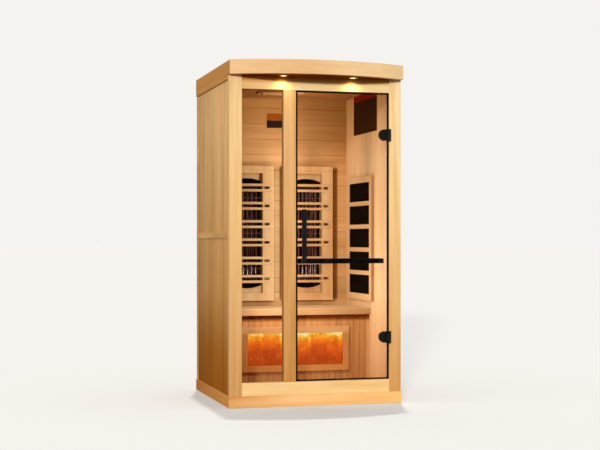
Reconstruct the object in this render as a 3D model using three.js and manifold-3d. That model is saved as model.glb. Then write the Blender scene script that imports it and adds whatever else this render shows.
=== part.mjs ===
// One-person infrared sauna cabin with a glass door and a bowed roof.
// Millimetres. +X is right, +Y is back, +Z is up. The origin is the middle of the base's underside.

import * as THREE from 'three';
import { mergeVertices } from 'three/addons/utils/BufferGeometryUtils.js';
import Module from 'manifold-3d';

// Clearances
const FIT = 0.3; // between a piece and the groove, bore or pocket that holds it
const RUN = 0.4; // radial gap of a turning or sliding round piece
const OVER = 1; // how far a cutting block runs past the face that it opens, and a join into its neighbour

// Cabin
const WIDTH = 990; // over the front and back panels
const DEPTH = 940; // front face to back face
const HEIGHT = 1900; // floor to roof edge
const WALL = 40; // thickness of every wall panel

// Boards
const BOARD = 95.5; // pitch of the wall boards
const JOINT_DEPTH = 3; // V joint between two boards
const JOINT_WIDTH = 5;

// Base
const PLINTH_HEIGHT = 64;
const PLINTH_PROUD = 4;
const DECK_DROP = 14; // floor below the plinth's top edge
const DECK_THICK = 22;
const RUNNER_WIDTH = 70;

// Side and back walls
const SIDE_SETBACK = 3; // side boards behind the edge of the front panel
const CLADDING = 12; // outer boards of the back wall
const BACK_TOP_BOARD = 62; // cut board under the roof on the back lining
const BELT_BOTTOM = 927;
const BELT_HEIGHT = 35;
const BELT_THICK = 5;

// Front frame
const POST_WIDTH = 70;
const WINDOW_WIDTH = 236;
const MULLION_WIDTH = 70;
const BOTTOM_RAIL = 71;
const TOP_RAIL = 75;
const PANE_THICK = 6;
const PANE_SETBACK = 16; // pane behind the front face
const GROOVE = 8; // how far the pane goes into the frame

// Door
const DOOR_GAP = 2;
const GLASS_THICK = 8;
const GLASS_SETBACK = 4;
const SEAL_WIDTH = 8;
const SEAL_LIP = 2; // rubber in front of and behind the glass
const SEAL_WEB = 4; // rubber outside the edge of the glass

// Door handle and towel bar
const HANDLE_INSET = 24; // from the free edge of the door
const HANDLE_BOTTOM = 789;
const HANDLE_HEIGHT = 298;
const HANDLE_WIDTH = 24;
const HANDLE_THICK = 14;
const HANDLE_REACH = 35; // glass to bar
const TOWEL_BAR_HEIGHT = 29;
const TOWEL_BAR_INSET = 29; // from the hinged edge of the door
const STUD_RADIUS = 8;
const BOLT_RADIUS = 5;

// Hinges
const HINGE_INSET = 235; // from the door's top or bottom edge to the middle of the hinge
const CLAMP_HEIGHT = 63;
const CLAMP_LENGTH = 45;
const CLAMP_THICK = 9;
const CLAMP_TO_EDGE = 12; // clamp plate to the hinged edge of the door
const BACK_PLATE_THICK = 6;
const BOSS_RADIUS = 5;
const BOSS_SPACING = 30;
const BARREL_RADIUS = 8;
const BARREL_OFF = 1; // barrel to the front face
const KNUCKLE_HEIGHT = 35;
const LEAF_HEIGHT = 67;
const LEAF_LAP = 11; // leaf over the post
const LEAF_THICK = 5;
const LUG_DEPTH = 12; // lug let into the post
const LUG_WIDTH = 5;
const PIN_RADIUS = 3;

// Roof
const ROOF_PROUD = 4; // roof beyond the walls at the sides and back
const ROOF_DROP = 102; // depth of the side and back rails
const FASCIA_DEPTH = 78;
const FASCIA_THICK = 20;
const EAVES = 30; // fascia in front of the front face at the corners
const BOW = 112; // how far the middle of the fascia stands in front of its corners
const BOW_STEPS = 24;
const SOFFIT_THICK = 12;
const CEILING_RISE = 12; // ceiling above the top of the walls
const CEILING_THICK = 12;
const COVER_DROP = 6; // roof cover below the roof edge
const COVER_THICK = 12;

// Downlights
const LAMP_X = 200;
const LAMP_GAP = 10; // bezel to the front face
const LENS_RADIUS = 20;
const LENS_THICK = 3;
const LENS_RECESS = 2;
const BEZEL_RADIUS = 28;
const BEZEL_THICK = 5;
const LAMP_BODY_RADIUS = 24;
const LAMP_BODY_HEIGHT = 28;
const LAMP_TOP = 5; // closed end of the lamp body

// Roof vent
const VENT_X = -90;
const VENT_FROM_BACK = 240;
const VENT_HOLE = 100;
const VENT_COVER_LENGTH = 150;
const VENT_COVER_WIDTH = 124;
const VENT_COVER_THICK = 6;
const VENT_TRAVEL = 100;
const TRACK_WEB = 6;
const TRACK_LIP = 4;
const KNOB_RADIUS = 11;
const KNOB_HEIGHT = 16;
const KNOB_INSET = 18;
const VENT_SLOTS = 5;
const VENT_SLOT_WIDTH = 8;

// Power supply and mains inlet
const SUPPLY_FROM_SIDE = 225; // inner face of the right wall to the middle of the supply
const SUPPLY_FROM_BACK = 240;
const SUPPLY_LENGTH = 220;
const SUPPLY_WIDTH = 160;
const SUPPLY_HEIGHT = 44;
const SUPPLY_FOOT = 14;
const SUPPLY_FOOT_THICK = 3;
const INLET_WIDTH = 48;
const INLET_HEIGHT = 28;
const INLET_DEPTH = 36;
const INLET_FLANGE = 8;
const INLET_FLANGE_THICK = 3;
const INLET_WALL = 7;
const INLET_SOCKET_DEPTH = 20;

// Back heaters
const HEATER_WIDTH = 322;
const HEATER_HEIGHT = 832;
const HEATER_DEPTH = 50;
const HEATER_GAP = 58; // between the two heaters
const HEATER_BOTTOM = 544;
const GUARD_WALL = 12;
const GUARD_LINING = 6; // wall round the opening in the guard
const GUARD_OPENING_WIDTH = 180;
const GUARD_OPENING_HEIGHT = 740;
const GUARD_RECESS = 38; // from the guard's face to the arched plates at both ends of the opening
const ARCH_PLATE = 6;
const ARCH_SPRING = 640; // from the foot of one arch to the foot of the other
const ARCH_RISE = 20;
const ARCH_STEPS = 10;
const GUARD_RAIL = 30; // top and bottom rails, marked by a joint
const SLAT_HEIGHT = 15;
const SLAT_PROUD = 4;
const SLAT_THICK = 12;
const SLAT_INSET = 10; // slat ends from the side of the guard
const SLAT_SPACING = 34; // middle to middle within a pair
const SLAT_PAIRS = 6;
const SLAT_PAIR_PITCH = 112.4;
const SLOT_WIDTH = 32;
const SLOT_HEIGHT = 15;
const SLOT_INSET = 28; // slot from the side of the guard
const REFLECTOR_FLANGE = 10;
const REFLECTOR_FLOOR = 104;
const REFLECTOR_DEPTH = 4;
const REFLECTOR_THICK = 1.5;
const REFLECTOR_HEIGHT = 720;
const ROD_RADIUS = 6;
const ROD_PITCH = 26;
const RODS = 5;
const ROD_OUT = 18; // rod middle in front of the reflector's floor
const ROD_LENGTH = 580;
const HOLDER_HEIGHT = 34;
const HOLDER_THICK = 8;
const HOLDER_FOOT = 80;

// Side heaters
const PANEL_WIDTH = 463;
const PANEL_HEIGHT = 744;
const PANEL_THICK = 20;
const PANEL_FROM_BACK = 87;
const PANEL_BOTTOM = 558;
const PANEL_WINDOWS = 5;
const PANEL_WINDOW_WIDTH = 384;
const PANEL_WINDOW_HEIGHT = 113;
const PANEL_WINDOW_PITCH = 138.7;
const CARBON_THICK = 16;
const CARBON_LAP = 12; // carbon panel behind the frame

// Bench
const SEAT_TOP = 513;
const SEAT_THICK = 35;
const SEAT_DEPTH = 484;
const SEAT_END_GAP = 1;
const SEAT_BOARDS = 5;
const BENCH_FRONT_SETBACK = 30; // boarded front behind the edge of the seat
const BENCH_FRONT_THICK = 16;
const BENCH_END = 19; // corner battens at the ends of the boarded front
const BENCH_BOARD = 38;
const CLEAT = 40;

// Salt window in the bench front
const SALT_WIDTH = 580;
const SALT_HEIGHT = 189;
const SALT_BOTTOM = 183;
const SALT_FRAME = 36;
const SALT_FRAME_THICK = 12;
const SALT_RECESS = 6; // tiles behind the face of the frame
const SALT_THICK = 25;
const SALT_TILES = 6;
const LIGHT_BOX_DEPTH = 60;
const LIGHT_BOX_LAP = 20;
const LIGHT_BOX_WALL = 8;

// Control panel on the left wall
const CONTROL_GAP = 20; // in front of the left side heater
const CONTROL_WIDTH = 180;
const CONTROL_HEIGHT = 96;
const CONTROL_THICK = 14;
const CONTROL_BOTTOM = 1180;
const DISPLAY_WIDTH = 120;
const DISPLAY_HEIGHT = 30;
const DISPLAY_RECESS = 1.5;
const DISPLAY_FROM_TOP = 12;
const BUTTONS = ['power', 'light', 'lower', 'raise'];
const BUTTON_RADIUS = 9;
const BUTTON_PITCH = 40;
const BUTTON_FROM_BOTTOM = 22;
const BUTTON_PROUD = 3;
const BUTTON_IN = 6.5; // button inside its bore at rest
const BUTTON_BORE = 9;

// Facets of round pieces
const ROUND = 24;
const SMALL_ROUND = 12;

// Finishes
const finish = (color, roughness, metalness = 0) =>
  new THREE.MeshStandardMaterial({ color, roughness, metalness });
const FRAME_WOOD = finish(0xe2b87a, 0.55);
const CLADDING_WOOD = finish(0xb98d56, 0.6);
const LINING_WOOD = finish(0xcf9a62, 0.6);
const ROOF_WOOD = finish(0xe8bd85, 0.5);
const HEATER_WOOD = finish(0xe6bf8c, 0.55);
const BENCH_WOOD = finish(0xc98f5a, 0.55);
const CLEAR_GLASS = finish(0xdfe9e6, 0.05);
CLEAR_GLASS.transparent = true;
CLEAR_GLASS.opacity = 0.25;
const BLACK_METAL = finish(0x1b1c1d, 0.45, 0.6);
const BLACK_RUBBER = finish(0x14110f, 0.8);
const BRIGHT_METAL = finish(0xb8b8b8, 0.3, 1);
const HEATER_ROD = finish(0x3a1a14, 0.5, 0.2);
const CARBON = finish(0x120e0d, 0.7);
const SALT = finish(0xe8782a, 0.4);
const LAMP_LENS = finish(0xfff2d0, 0.3);
const BLACK_PLASTIC = finish(0x17181a, 0.5);
const GREY_METAL = finish(0x8f9295, 0.5, 0.7);

// Places that several pieces share
const half = WIDTH / 2;
const innerHalf = half - WALL;
const innerBack = DEPTH - WALL;
const roofHalf = half + ROOF_PROUD;
const wallTop = HEIGHT - ROOF_DROP;
const frameTop = HEIGHT - FASCIA_DEPTH;
const ceiling = wallTop + CEILING_RISE;
const lampY = -LAMP_GAP - BEZEL_RADIUS;
const deckTop = PLINTH_HEIGHT - DECK_DROP;

// Solids

const wasm = await Module();
wasm.setup();

function solid(geometry) {
  const bare = geometry.clone();
  bare.deleteAttribute('normal');
  bare.deleteAttribute('uv');
  const merged = mergeVertices(bare);
  const vertProperties = Float32Array.from(merged.attributes.position.array);
  const triVerts = Uint32Array.from(merged.index.array);
  return new wasm.Manifold(new wasm.Mesh({ numProp: 3, vertProperties, triVerts }));
}

function geometryOf(body) {
  const { vertProperties, triVerts } = body.getMesh();
  const geometry = new THREE.BufferGeometry();
  geometry.setAttribute('position', new THREE.BufferAttribute(Float32Array.from(vertProperties), 3));
  geometry.setIndex(new THREE.BufferAttribute(Uint32Array.from(triVerts), 1));
  geometry.computeVertexNormals();
  return geometry;
}

function cut(geometry, ...tools) {
  return geometryOf(tools.reduce((body, tool) => body.subtract(solid(tool)), solid(geometry)));
}

function join(geometry, ...others) {
  return geometryOf(others.reduce((body, other) => body.add(solid(other)), solid(geometry)));
}

// A box is three [low, high] spans. grow moves every face out by a margin.
const span = (middle, size) => [middle - size / 2, middle + size / 2];
const grow = (spans, margin) => spans.map(([low, high]) => [low - margin, high + margin]);
const mirrored = ([low, high], sign) => (sign > 0 ? [low, high] : [-high, -low]);

function block([[x0, x1], [y0, y1], [z0, z1]]) {
  const box = new THREE.BoxGeometry(x1 - x0, y1 - y0, z1 - z0);
  return box.translate((x0 + x1) / 2, (y0 + y1) / 2, (z0 + z1) / 2);
}

function extrude(points, length) {
  const outline = new THREE.Shape(points.map(([u, v]) => new THREE.Vector2(u, v)));
  return new THREE.ExtrudeGeometry(outline, { depth: length, bevelEnabled: false });
}

// Outlines in plan (x, y), from the side (y, z) and from the front (x, z), each swept over a span.
function sweepUp(points, [z0, z1]) {
  return extrude(points, z1 - z0).translate(0, 0, z0);
}

function sweepAcross(points, [x0, x1]) {
  const axes = new THREE.Matrix4().makeBasis(
    new THREE.Vector3(0, 1, 0),
    new THREE.Vector3(0, 0, 1),
    new THREE.Vector3(1, 0, 0),
  );
  return extrude(points, x1 - x0).applyMatrix4(axes).translate(x0, 0, 0);
}

function sweepBack(points, [y0, y1]) {
  return extrude(points, y1 - y0).rotateX(Math.PI / 2).translate(0, y1, 0);
}

// Round bars along one axis.
function barX(radius, [x0, x1], y, z, facets = SMALL_ROUND) {
  const bar = new THREE.CylinderGeometry(radius, radius, x1 - x0, facets).rotateZ(Math.PI / 2);
  return bar.translate((x0 + x1) / 2, y, z);
}

function barY(radius, x, [y0, y1], z, facets = SMALL_ROUND) {
  const bar = new THREE.CylinderGeometry(radius, radius, y1 - y0, facets);
  return bar.translate(x, (y0 + y1) / 2, z);
}

function barZ(radius, x, y, [z0, z1], facets = SMALL_ROUND) {
  const bar = new THREE.CylinderGeometry(radius, radius, z1 - z0, facets).rotateX(Math.PI / 2);
  return bar.translate(x, y, (z0 + z1) / 2);
}

// Boards: seams at an even pitch, and a face with a V joint at each seam.
function seams([low, high], pitch) {
  const boards = Math.max(1, Math.round((high - low) / pitch));
  return Array.from({ length: boards - 1 }, (_, k) => low + ((k + 1) * (high - low)) / boards);
}

function seamsDown([low, high], first, pitch) {
  const list = [];
  for (let at = high - first; at > low + JOINT_WIDTH; at -= pitch) {
    list.unshift(at);
  }
  return list;
}

// Points (along, across) of a boarded face at a level; inward is the side that the wood is on.
function boardedFace([low, high], joints, level, inward) {
  const points = [[low, level]];
  for (const joint of joints) {
    points.push([joint - JOINT_WIDTH / 2, level]);
    points.push([joint, level + inward * JOINT_DEPTH]);
    points.push([joint + JOINT_WIDTH / 2, level]);
  }
  points.push([high, level]);
  return points;
}

const flip = (points) => points.map(([u, v]) => [v, u]);

// A shallow arc from (-reach, y) to (reach, y) that bulges forward by rise.
function bow(reach, y, rise, steps) {
  const radius = (reach * reach + rise * rise) / (2 * rise);
  const swing = Math.asin(reach / radius);
  return Array.from({ length: steps + 1 }, (_, k) => {
    const angle = swing * ((2 * k) / steps - 1);
    return [radius * Math.sin(angle), y - (radius * Math.cos(angle) - (radius - rise))];
  });
}

// The cabin is laid out with Y = 0 on its front face.
const cabin = new THREE.Group();
cabin.position.y = -DEPTH / 2;

function piece(name, material, geometry) {
  const mesh = new THREE.Mesh(geometry, material);
  mesh.name = name;
  cabin.add(mesh);
}

const SIDES = [['left', -1], ['right', 1]];

// Base: a plinth ring with the floor panel inside it. Three runners carry the floor boards.
function base() {
  const [outerX, outerY] = grow([span(0, WIDTH), [0, DEPTH]], PLINTH_PROUD);
  const outer = [outerX, outerY, [0, PLINTH_HEIGHT]];
  const inner = [span(0, 2 * innerHalf), [WALL, innerBack], [-FIT, PLINTH_HEIGHT + FIT]];
  piece('plinth', FRAME_WOOD, cut(block(outer), block(inner)));

  const [x, y] = grow(inner.slice(0, 2), -FIT);
  const underside = deckTop - DECK_THICK;
  const top = boardedFace(y, seams(y, BOARD), deckTop, -1);
  const middle = span(DEPTH / 2, RUNNER_WIDTH);
  const bottom = [
    [y[1], 0], [y[1] - RUNNER_WIDTH, 0], [y[1] - RUNNER_WIDTH, underside],
    [middle[1], underside], [middle[1], 0], [middle[0], 0], [middle[0], underside],
    [y[0] + RUNNER_WIDTH, underside], [y[0] + RUNNER_WIDTH, 0], [y[0], 0],
  ];
  piece('floor_panel', LINING_WOOD, sweepAcross([...top, ...bottom], x));
}

// Side and back walls stand on the plinth. Side boards run up, the back lining's boards run across.
function walls() {
  const z = [PLINTH_HEIGHT, wallTop];
  const y = [WALL, innerBack];
  const face = half - SIDE_SETBACK;
  for (const [side, sign] of SIDES) {
    const outside = boardedFace(y, seams(y, BOARD), sign * face, -sign);
    const inside = boardedFace(y, seams(y, BOARD), sign * innerHalf, sign);
    piece(`${side}_wall`, CLADDING_WOOD, sweepUp([...flip(outside), ...flip(inside).reverse()], z));
    const belt = [mirrored([face, face + BELT_THICK], sign), y, [BELT_BOTTOM, BELT_BOTTOM + BELT_HEIGHT]];
    piece(`${side}_belt_rail`, CLADDING_WOOD, block(belt));
  }

  const x = span(0, WIDTH);
  const back = DEPTH - CLADDING;
  const lining = flip(boardedFace(z, seamsDown(z, BACK_TOP_BOARD, BOARD), innerBack, 1));
  piece('back_wall_lining', LINING_WOOD, sweepAcross([...lining, [back, z[1]], [back, z[0]]], x));
  const cladding = boardedFace(x, seams(x, BOARD), DEPTH, -1);
  piece('back_wall_cladding', CLADDING_WOOD, sweepUp([...cladding, [x[1], back], [x[0], back]], z));
}

// Front frame, with the fixed pane in a groove all round its opening.
const frontY = [0, WALL];
const openingZ = [PLINTH_HEIGHT + BOTTOM_RAIL, frameTop - TOP_RAIL];
const windowX = [-half + POST_WIDTH, -half + POST_WIDTH + WINDOW_WIDTH];
const doorwayX = [windowX[1] + MULLION_WIDTH, half - POST_WIDTH];
const hingeZ = {
  lower: openingZ[0] + DOOR_GAP + HINGE_INSET,
  upper: openingZ[1] - DOOR_GAP - HINGE_INSET,
};
const lugX = [doorwayX[1] + LEAF_LAP - LUG_WIDTH, doorwayX[1] + LEAF_LAP];
const lugAt = (z) => [lugX, [-LEAF_THICK, LUG_DEPTH], span(z, KNUCKLE_HEIGHT)];

function frontFrame() {
  const paneY = [PANE_SETBACK, PANE_SETBACK + PANE_THICK];
  const pane = [
    [windowX[0] - GROOVE, windowX[1] + GROOVE],
    paneY,
    [openingZ[0] - GROOVE, openingZ[1] + GROOVE],
  ];
  const groove = block(grow(pane, FIT));
  const upright = [PLINTH_HEIGHT, frameTop];
  const across = [windowX[0], doorwayX[1]];
  const leftPost = block([[-half, windowX[0]], frontY, upright]);
  const rightPost = block([[doorwayX[1], half], frontY, upright]);
  const pockets = Object.values(hingeZ).map((z) => block(grow(lugAt(z), FIT)));
  piece('left_post', FRAME_WOOD, cut(leftPost, groove));
  piece('right_post', FRAME_WOOD, cut(rightPost, ...pockets));
  piece('mullion', FRAME_WOOD, cut(block([[windowX[1], doorwayX[0]], frontY, openingZ]), groove));
  piece('bottom_rail', FRAME_WOOD, cut(block([across, frontY, [PLINTH_HEIGHT, openingZ[0]]]), groove));
  piece('top_rail', FRAME_WOOD, cut(block([across, frontY, [openingZ[1], frameTop]]), groove));
  piece('window_pane', CLEAR_GLASS, block(pane));
}

// Door: a glass leaf in a black edge seal, with a handle in front of it and a towel bar behind it.
const doorX = [doorwayX[0] + DOOR_GAP, doorwayX[1] - DOOR_GAP];
const doorZ = [openingZ[0] + DOOR_GAP, openingZ[1] - DOOR_GAP];
const glassY = [GLASS_SETBACK, GLASS_SETBACK + GLASS_THICK];
const handleX = [doorX[0] + HANDLE_INSET, doorX[0] + HANDLE_INSET + HANDLE_WIDTH];
const handleZ = [HANDLE_BOTTOM, HANDLE_BOTTOM + HANDLE_HEIGHT];
const upperStud = [handleX[0] + HANDLE_WIDTH / 2, handleZ[1] - HANDLE_WIDTH / 2];
const sharedStud = [handleX[0] + HANDLE_WIDTH / 2, handleZ[0] + HANDLE_WIDTH / 2];
const towelBarX = [handleX[0], doorX[1] - TOWEL_BAR_INSET];
const towelBarZ = span(sharedStud[1], TOWEL_BAR_HEIGHT);
const farStud = [towelBarX[1] - HANDLE_WIDTH / 2, sharedStud[1]];
const clampX = [doorX[1] - CLAMP_TO_EDGE - CLAMP_LENGTH, doorX[1] - CLAMP_TO_EDGE];
const bossX = (clampX[0] + clampX[1]) / 2;
const bossesAt = (z) => span(z, BOSS_SPACING).map((bossZ) => [bossX, bossZ]);

function door() {
  const leaf = [doorX, [glassY[0] - SEAL_LIP, glassY[1] + SEAL_LIP], doorZ];
  const glass = [grow([doorX], -SEAL_WEB)[0], glassY, grow([doorZ], -SEAL_WEB)[0]];
  const [sightX, sightZ] = grow([doorX, doorZ], -SEAL_WIDTH);
  const sight = [sightX, grow([leaf[1]], FIT)[0], sightZ];
  piece('door_seal', BLACK_RUBBER, cut(block(leaf), block(sight), block(grow(glass, FIT))));

  const through = grow([glassY], FIT)[0];
  const studs = [upperStud, sharedStud, farStud];
  const boltHoles = studs.map(([x, z]) => barY(BOLT_RADIUS + FIT, x, through, z));
  const bosses = Object.values(hingeZ).flatMap(bossesAt);
  const bossHoles = bosses.map(([x, z]) => barY(BOSS_RADIUS + FIT, x, through, z));
  piece('door_glass', CLEAR_GLASS, cut(block(glass), ...boltHoles, ...bossHoles));

  const handleY = [glassY[0] - HANDLE_REACH - HANDLE_THICK, glassY[0] - HANDLE_REACH];
  const towelBarY = [glassY[1] + HANDLE_REACH, glassY[1] + HANDLE_REACH + HANDLE_THICK];
  const middle = ([low, high]) => (low + high) / 2;
  const handleStuds = [upperStud, sharedStud].flatMap(([x, z]) => [
    barY(STUD_RADIUS, x, [middle(handleY), glassY[0]], z),
    barY(BOLT_RADIUS, x, [middle(handleY), glassY[1]], z),
  ]);
  const [farX, farZ] = farStud;
  const towelBarStuds = [
    ...[sharedStud, farStud].map(([x, z]) => barY(STUD_RADIUS, x, [glassY[1], middle(towelBarY)], z)),
    barY(BOLT_RADIUS, farX, [glassY[0], middle(towelBarY)], farZ),
  ];
  piece('door_handle', BLACK_METAL, join(block([handleX, handleY, handleZ]), ...handleStuds));
  piece('towel_bar', BLACK_METAL, join(block([towelBarX, towelBarY, towelBarZ]), ...towelBarStuds));
}

// Hinges: the clamp and its back plate hold the glass, the leaf and its pin are on the post.
const pivot = [doorwayX[1] - DOOR_GAP, -BARREL_OFF - BARREL_RADIUS];

function clampOutline(z) {
  const radius = CLAMP_HEIGHT / 2;
  const centre = clampX[0] + radius;
  const points = [[clampX[1], z - radius], [clampX[1], z + radius]];
  for (let k = 0; k <= SMALL_ROUND; k += 1) {
    const angle = Math.PI / 2 + (Math.PI * k) / SMALL_ROUND;
    points.push([centre + radius * Math.cos(angle), z + radius * Math.sin(angle)]);
  }
  return points;
}

function hinges() {
  const [pivotX, pivotY] = pivot;
  for (const [name, z] of Object.entries(hingeZ)) {
    const knuckleZ = grow([span(z, KNUCKLE_HEIGHT)], -RUN)[0];
    const plate = sweepBack(clampOutline(z), [glassY[0] - CLAMP_THICK, glassY[0]]);
    const arm = block([[clampX[1] - BARREL_RADIUS, pivotX], span(pivotY, BARREL_RADIUS), knuckleZ]);
    const neck = block([[clampX[1] - BARREL_RADIUS, clampX[1]], [pivotY, glassY[0]], knuckleZ]);
    const knuckle = barZ(BARREL_RADIUS, pivotX, pivotY, knuckleZ, ROUND);
    const bore = barZ(PIN_RADIUS + RUN, pivotX, pivotY, grow([knuckleZ], OVER)[0], ROUND);
    piece(`${name}_hinge_clamp`, BLACK_METAL, cut(join(plate, arm, neck, knuckle), bore));

    const bossY = [glassY[0], glassY[1] + OVER];
    const bosses = bossesAt(z).map(([x, bossZ]) => barY(BOSS_RADIUS, x, bossY, bossZ));
    const backPlate = sweepBack(clampOutline(z), [glassY[1], glassY[1] + BACK_PLATE_THICK]);
    piece(`${name}_hinge_back_plate`, BLACK_METAL, join(backPlate, ...bosses));

    const leafZ = span(z, LEAF_HEIGHT);
    const lap = block([[pivotX - BARREL_RADIUS / 2, doorwayX[1] + LEAF_LAP], [-LEAF_THICK, 0], leafZ]);
    const barrel = barZ(BARREL_RADIUS, pivotX, pivotY, leafZ, ROUND);
    const clear = block([
      [pivotX - 2 * BARREL_RADIUS, lugX[0]],
      [pivotY - 2 * BARREL_RADIUS, FIT],
      span(z, KNUCKLE_HEIGHT),
    ]);
    const pin = barZ(PIN_RADIUS, pivotX, pivotY, leafZ, ROUND);
    const leaf = cut(join(lap, barrel), clear);
    piece(`${name}_hinge_leaf`, BLACK_METAL, join(leaf, block(lugAt(z)), pin));
  }
}

// Roof: side and back rails on the walls, and a bowed fascia with a soffit behind it.
const eaves = bow(roofHalf, -EAVES, BOW, BOW_STEPS);
const eavesBack = bow(innerHalf, FASCIA_THICK - EAVES, BOW, BOW_STEPS);
const ventY = span(innerBack - VENT_FROM_BACK, VENT_HOLE);
const ventHoleX = span(VENT_X, VENT_HOLE);
const supplyX = innerHalf - SUPPLY_FROM_SIDE;
const inletX = span(supplyX, INLET_WIDTH);
const inletZ = span((ceiling + CEILING_THICK + HEIGHT - COVER_DROP - COVER_THICK) / 2, INLET_HEIGHT);

function roof() {
  const frontEnd = FASCIA_THICK - EAVES;
  const roofZ = [wallTop, HEIGHT];
  const backY = [innerBack, DEPTH + ROOF_PROUD];
  const fascia = [
    ...eaves, [roofHalf, frontEnd], ...[...eavesBack].reverse(), [-roofHalf, frontEnd],
  ];
  piece('fascia', ROOF_WOOD, sweepUp(fascia, [frameTop, HEIGHT]));

  const railSide = [
    [frontEnd, frameTop], [WALL, frameTop], [WALL, wallTop],
    [innerBack, wallTop], [innerBack, HEIGHT], [frontEnd, HEIGHT],
  ];
  for (const [side, sign] of SIDES) {
    piece(`${side}_roof_rail`, ROOF_WOOD, sweepAcross(railSide, mirrored([innerHalf, roofHalf], sign)));
  }
  const backRail = block([span(0, 2 * roofHalf), backY, roofZ]);
  const inletHole = block([inletX, grow([backY], FIT)[0], inletZ]);
  piece('back_roof_rail', ROOF_WOOD, cut(backRail, inletHole));

  const behindFascia = eavesBack.map(([x, y]) => [x, y + FIT]);
  const plan = (back) => [...behindFascia, [innerHalf, back], [-innerHalf, back]];
  const soffitZ = [frameTop, frameTop + SOFFIT_THICK];
  const lampHoles = SIDES.map(([, sign]) =>
    barZ(LAMP_BODY_RADIUS + FIT, sign * LAMP_X, lampY, grow([soffitZ], FIT)[0], ROUND));
  piece('soffit', ROOF_WOOD, cut(sweepUp(plan(WALL), soffitZ), ...lampHoles));

  const ceilingY = [WALL, innerBack];
  const boards = boardedFace(ceilingY, seams(ceilingY, BOARD), ceiling, 1);
  const lid = ceiling + CEILING_THICK;
  const ceilingPanel = sweepAcross([...boards, [innerBack, lid], [WALL, lid]], span(0, 2 * innerHalf));
  const ventHole = block([ventHoleX, ventY, [ceiling - FIT, lid + FIT]]);
  piece('ceiling_panel', LINING_WOOD, cut(ceilingPanel, ventHole));

  const coverTop = HEIGHT - COVER_DROP;
  const coverZ = [coverTop - COVER_THICK, coverTop];
  const slotPitch = VENT_HOLE / VENT_SLOTS;
  const slots = Array.from({ length: VENT_SLOTS }, (_, k) =>
    block([span(ventHoleX[0] + (k + 0.5) * slotPitch, VENT_SLOT_WIDTH), ventY, grow([coverZ], FIT)[0]]));
  piece('roof_cover', ROOF_WOOD, cut(sweepUp(plan(innerBack), coverZ), ...slots));
}

// Downlights in the soffit: a cup with a flange, and a lens in its mouth.
function downlights() {
  const flange = frameTop - BEZEL_THICK;
  const top = frameTop + LAMP_BODY_HEIGHT;
  const mouth = LENS_RADIUS + FIT;
  const cup = [
    [0, top - LAMP_TOP], [mouth, top - LAMP_TOP], [mouth, flange],
    [BEZEL_RADIUS - BEZEL_THICK / 2, flange], [BEZEL_RADIUS, frameTop - BEZEL_THICK / 2],
    [BEZEL_RADIUS, frameTop], [LAMP_BODY_RADIUS, frameTop], [LAMP_BODY_RADIUS, top], [0, top],
  ].map(([radius, z]) => new THREE.Vector2(radius, z));
  const lensZ = [flange + LENS_RECESS, flange + LENS_RECESS + LENS_THICK];
  for (const [side, sign] of SIDES) {
    const turned = new THREE.LatheGeometry(cup, ROUND).rotateX(Math.PI / 2);
    piece(`${side}_downlight`, BRIGHT_METAL, turned.translate(sign * LAMP_X, lampY, 0));
    piece(`${side}_downlight_lens`, LAMP_LENS, barZ(LENS_RADIUS, sign * LAMP_X, lampY, lensZ, ROUND));
  }
}

// Roof vent: a cover plate with a knob slides along a track under the ceiling.
function vent() {
  const middleY = (ventY[0] + ventY[1]) / 2;
  const coverX = span(VENT_X, VENT_COVER_LENGTH);
  const coverY = span(middleY, VENT_COVER_WIDTH);
  const coverZ = [ceiling - FIT - VENT_COVER_THICK, ceiling - FIT];
  const knobX = coverX[0] + KNOB_INSET;
  const knob = barZ(KNOB_RADIUS, knobX, middleY, [coverZ[0] - KNOB_HEIGHT, coverZ[0] + OVER], ROUND);
  piece('vent_cover', HEATER_WOOD, join(block([coverX, coverY, coverZ]), knob));

  const trackX = [coverX[0] - FIT - TRACK_WEB, coverX[1] + VENT_TRAVEL + FIT + TRACK_WEB];
  const lipZ = coverZ[0] - FIT - TRACK_LIP;
  const frame = block([trackX, grow([coverY], FIT + TRACK_WEB)[0], [lipZ, ceiling]]);
  const passage = block([
    grow([trackX], -TRACK_WEB)[0],
    grow([coverY], FIT)[0],
    [coverZ[0] - FIT, ceiling + FIT],
  ]);
  const window = block([
    grow([trackX], -TRACK_WEB)[0],
    grow([coverY], -TRACK_WEB)[0],
    [lipZ - FIT, coverZ[0]],
  ]);
  piece('vent_track', HEATER_WOOD, cut(frame, passage, window));
}

// Power supply on the ceiling boards, and the mains inlet in the back rail.
function power() {
  const floor = ceiling + CEILING_THICK;
  const x = span(supplyX, SUPPLY_LENGTH);
  const y = span(innerBack - SUPPLY_FROM_BACK, SUPPLY_WIDTH);
  const box = block([x, y, [floor, floor + SUPPLY_HEIGHT]]);
  const foot = block([grow([x], SUPPLY_FOOT)[0], y, [floor, floor + SUPPLY_FOOT_THICK]]);
  piece('power_supply', GREY_METAL, join(box, foot));

  const face = DEPTH + ROOF_PROUD;
  const [bodyX, bodyZ] = grow([inletX, inletZ], -FIT);
  const body = block([bodyX, [face - INLET_DEPTH, face + OVER], bodyZ]);
  const [flangeX, flangeZ] = grow([inletX, inletZ], INLET_FLANGE);
  const flange = block([flangeX, [face, face + INLET_FLANGE_THICK], flangeZ]);
  const [socketX, socketZ] = grow([inletX, inletZ], -INLET_WALL);
  const mouth = face + INLET_FLANGE_THICK;
  const socket = block([socketX, [mouth - INLET_SOCKET_DEPTH, mouth + OVER], socketZ]);
  piece('mains_inlet', BLACK_PLASTIC, cut(join(body, flange), socket));
}

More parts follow.
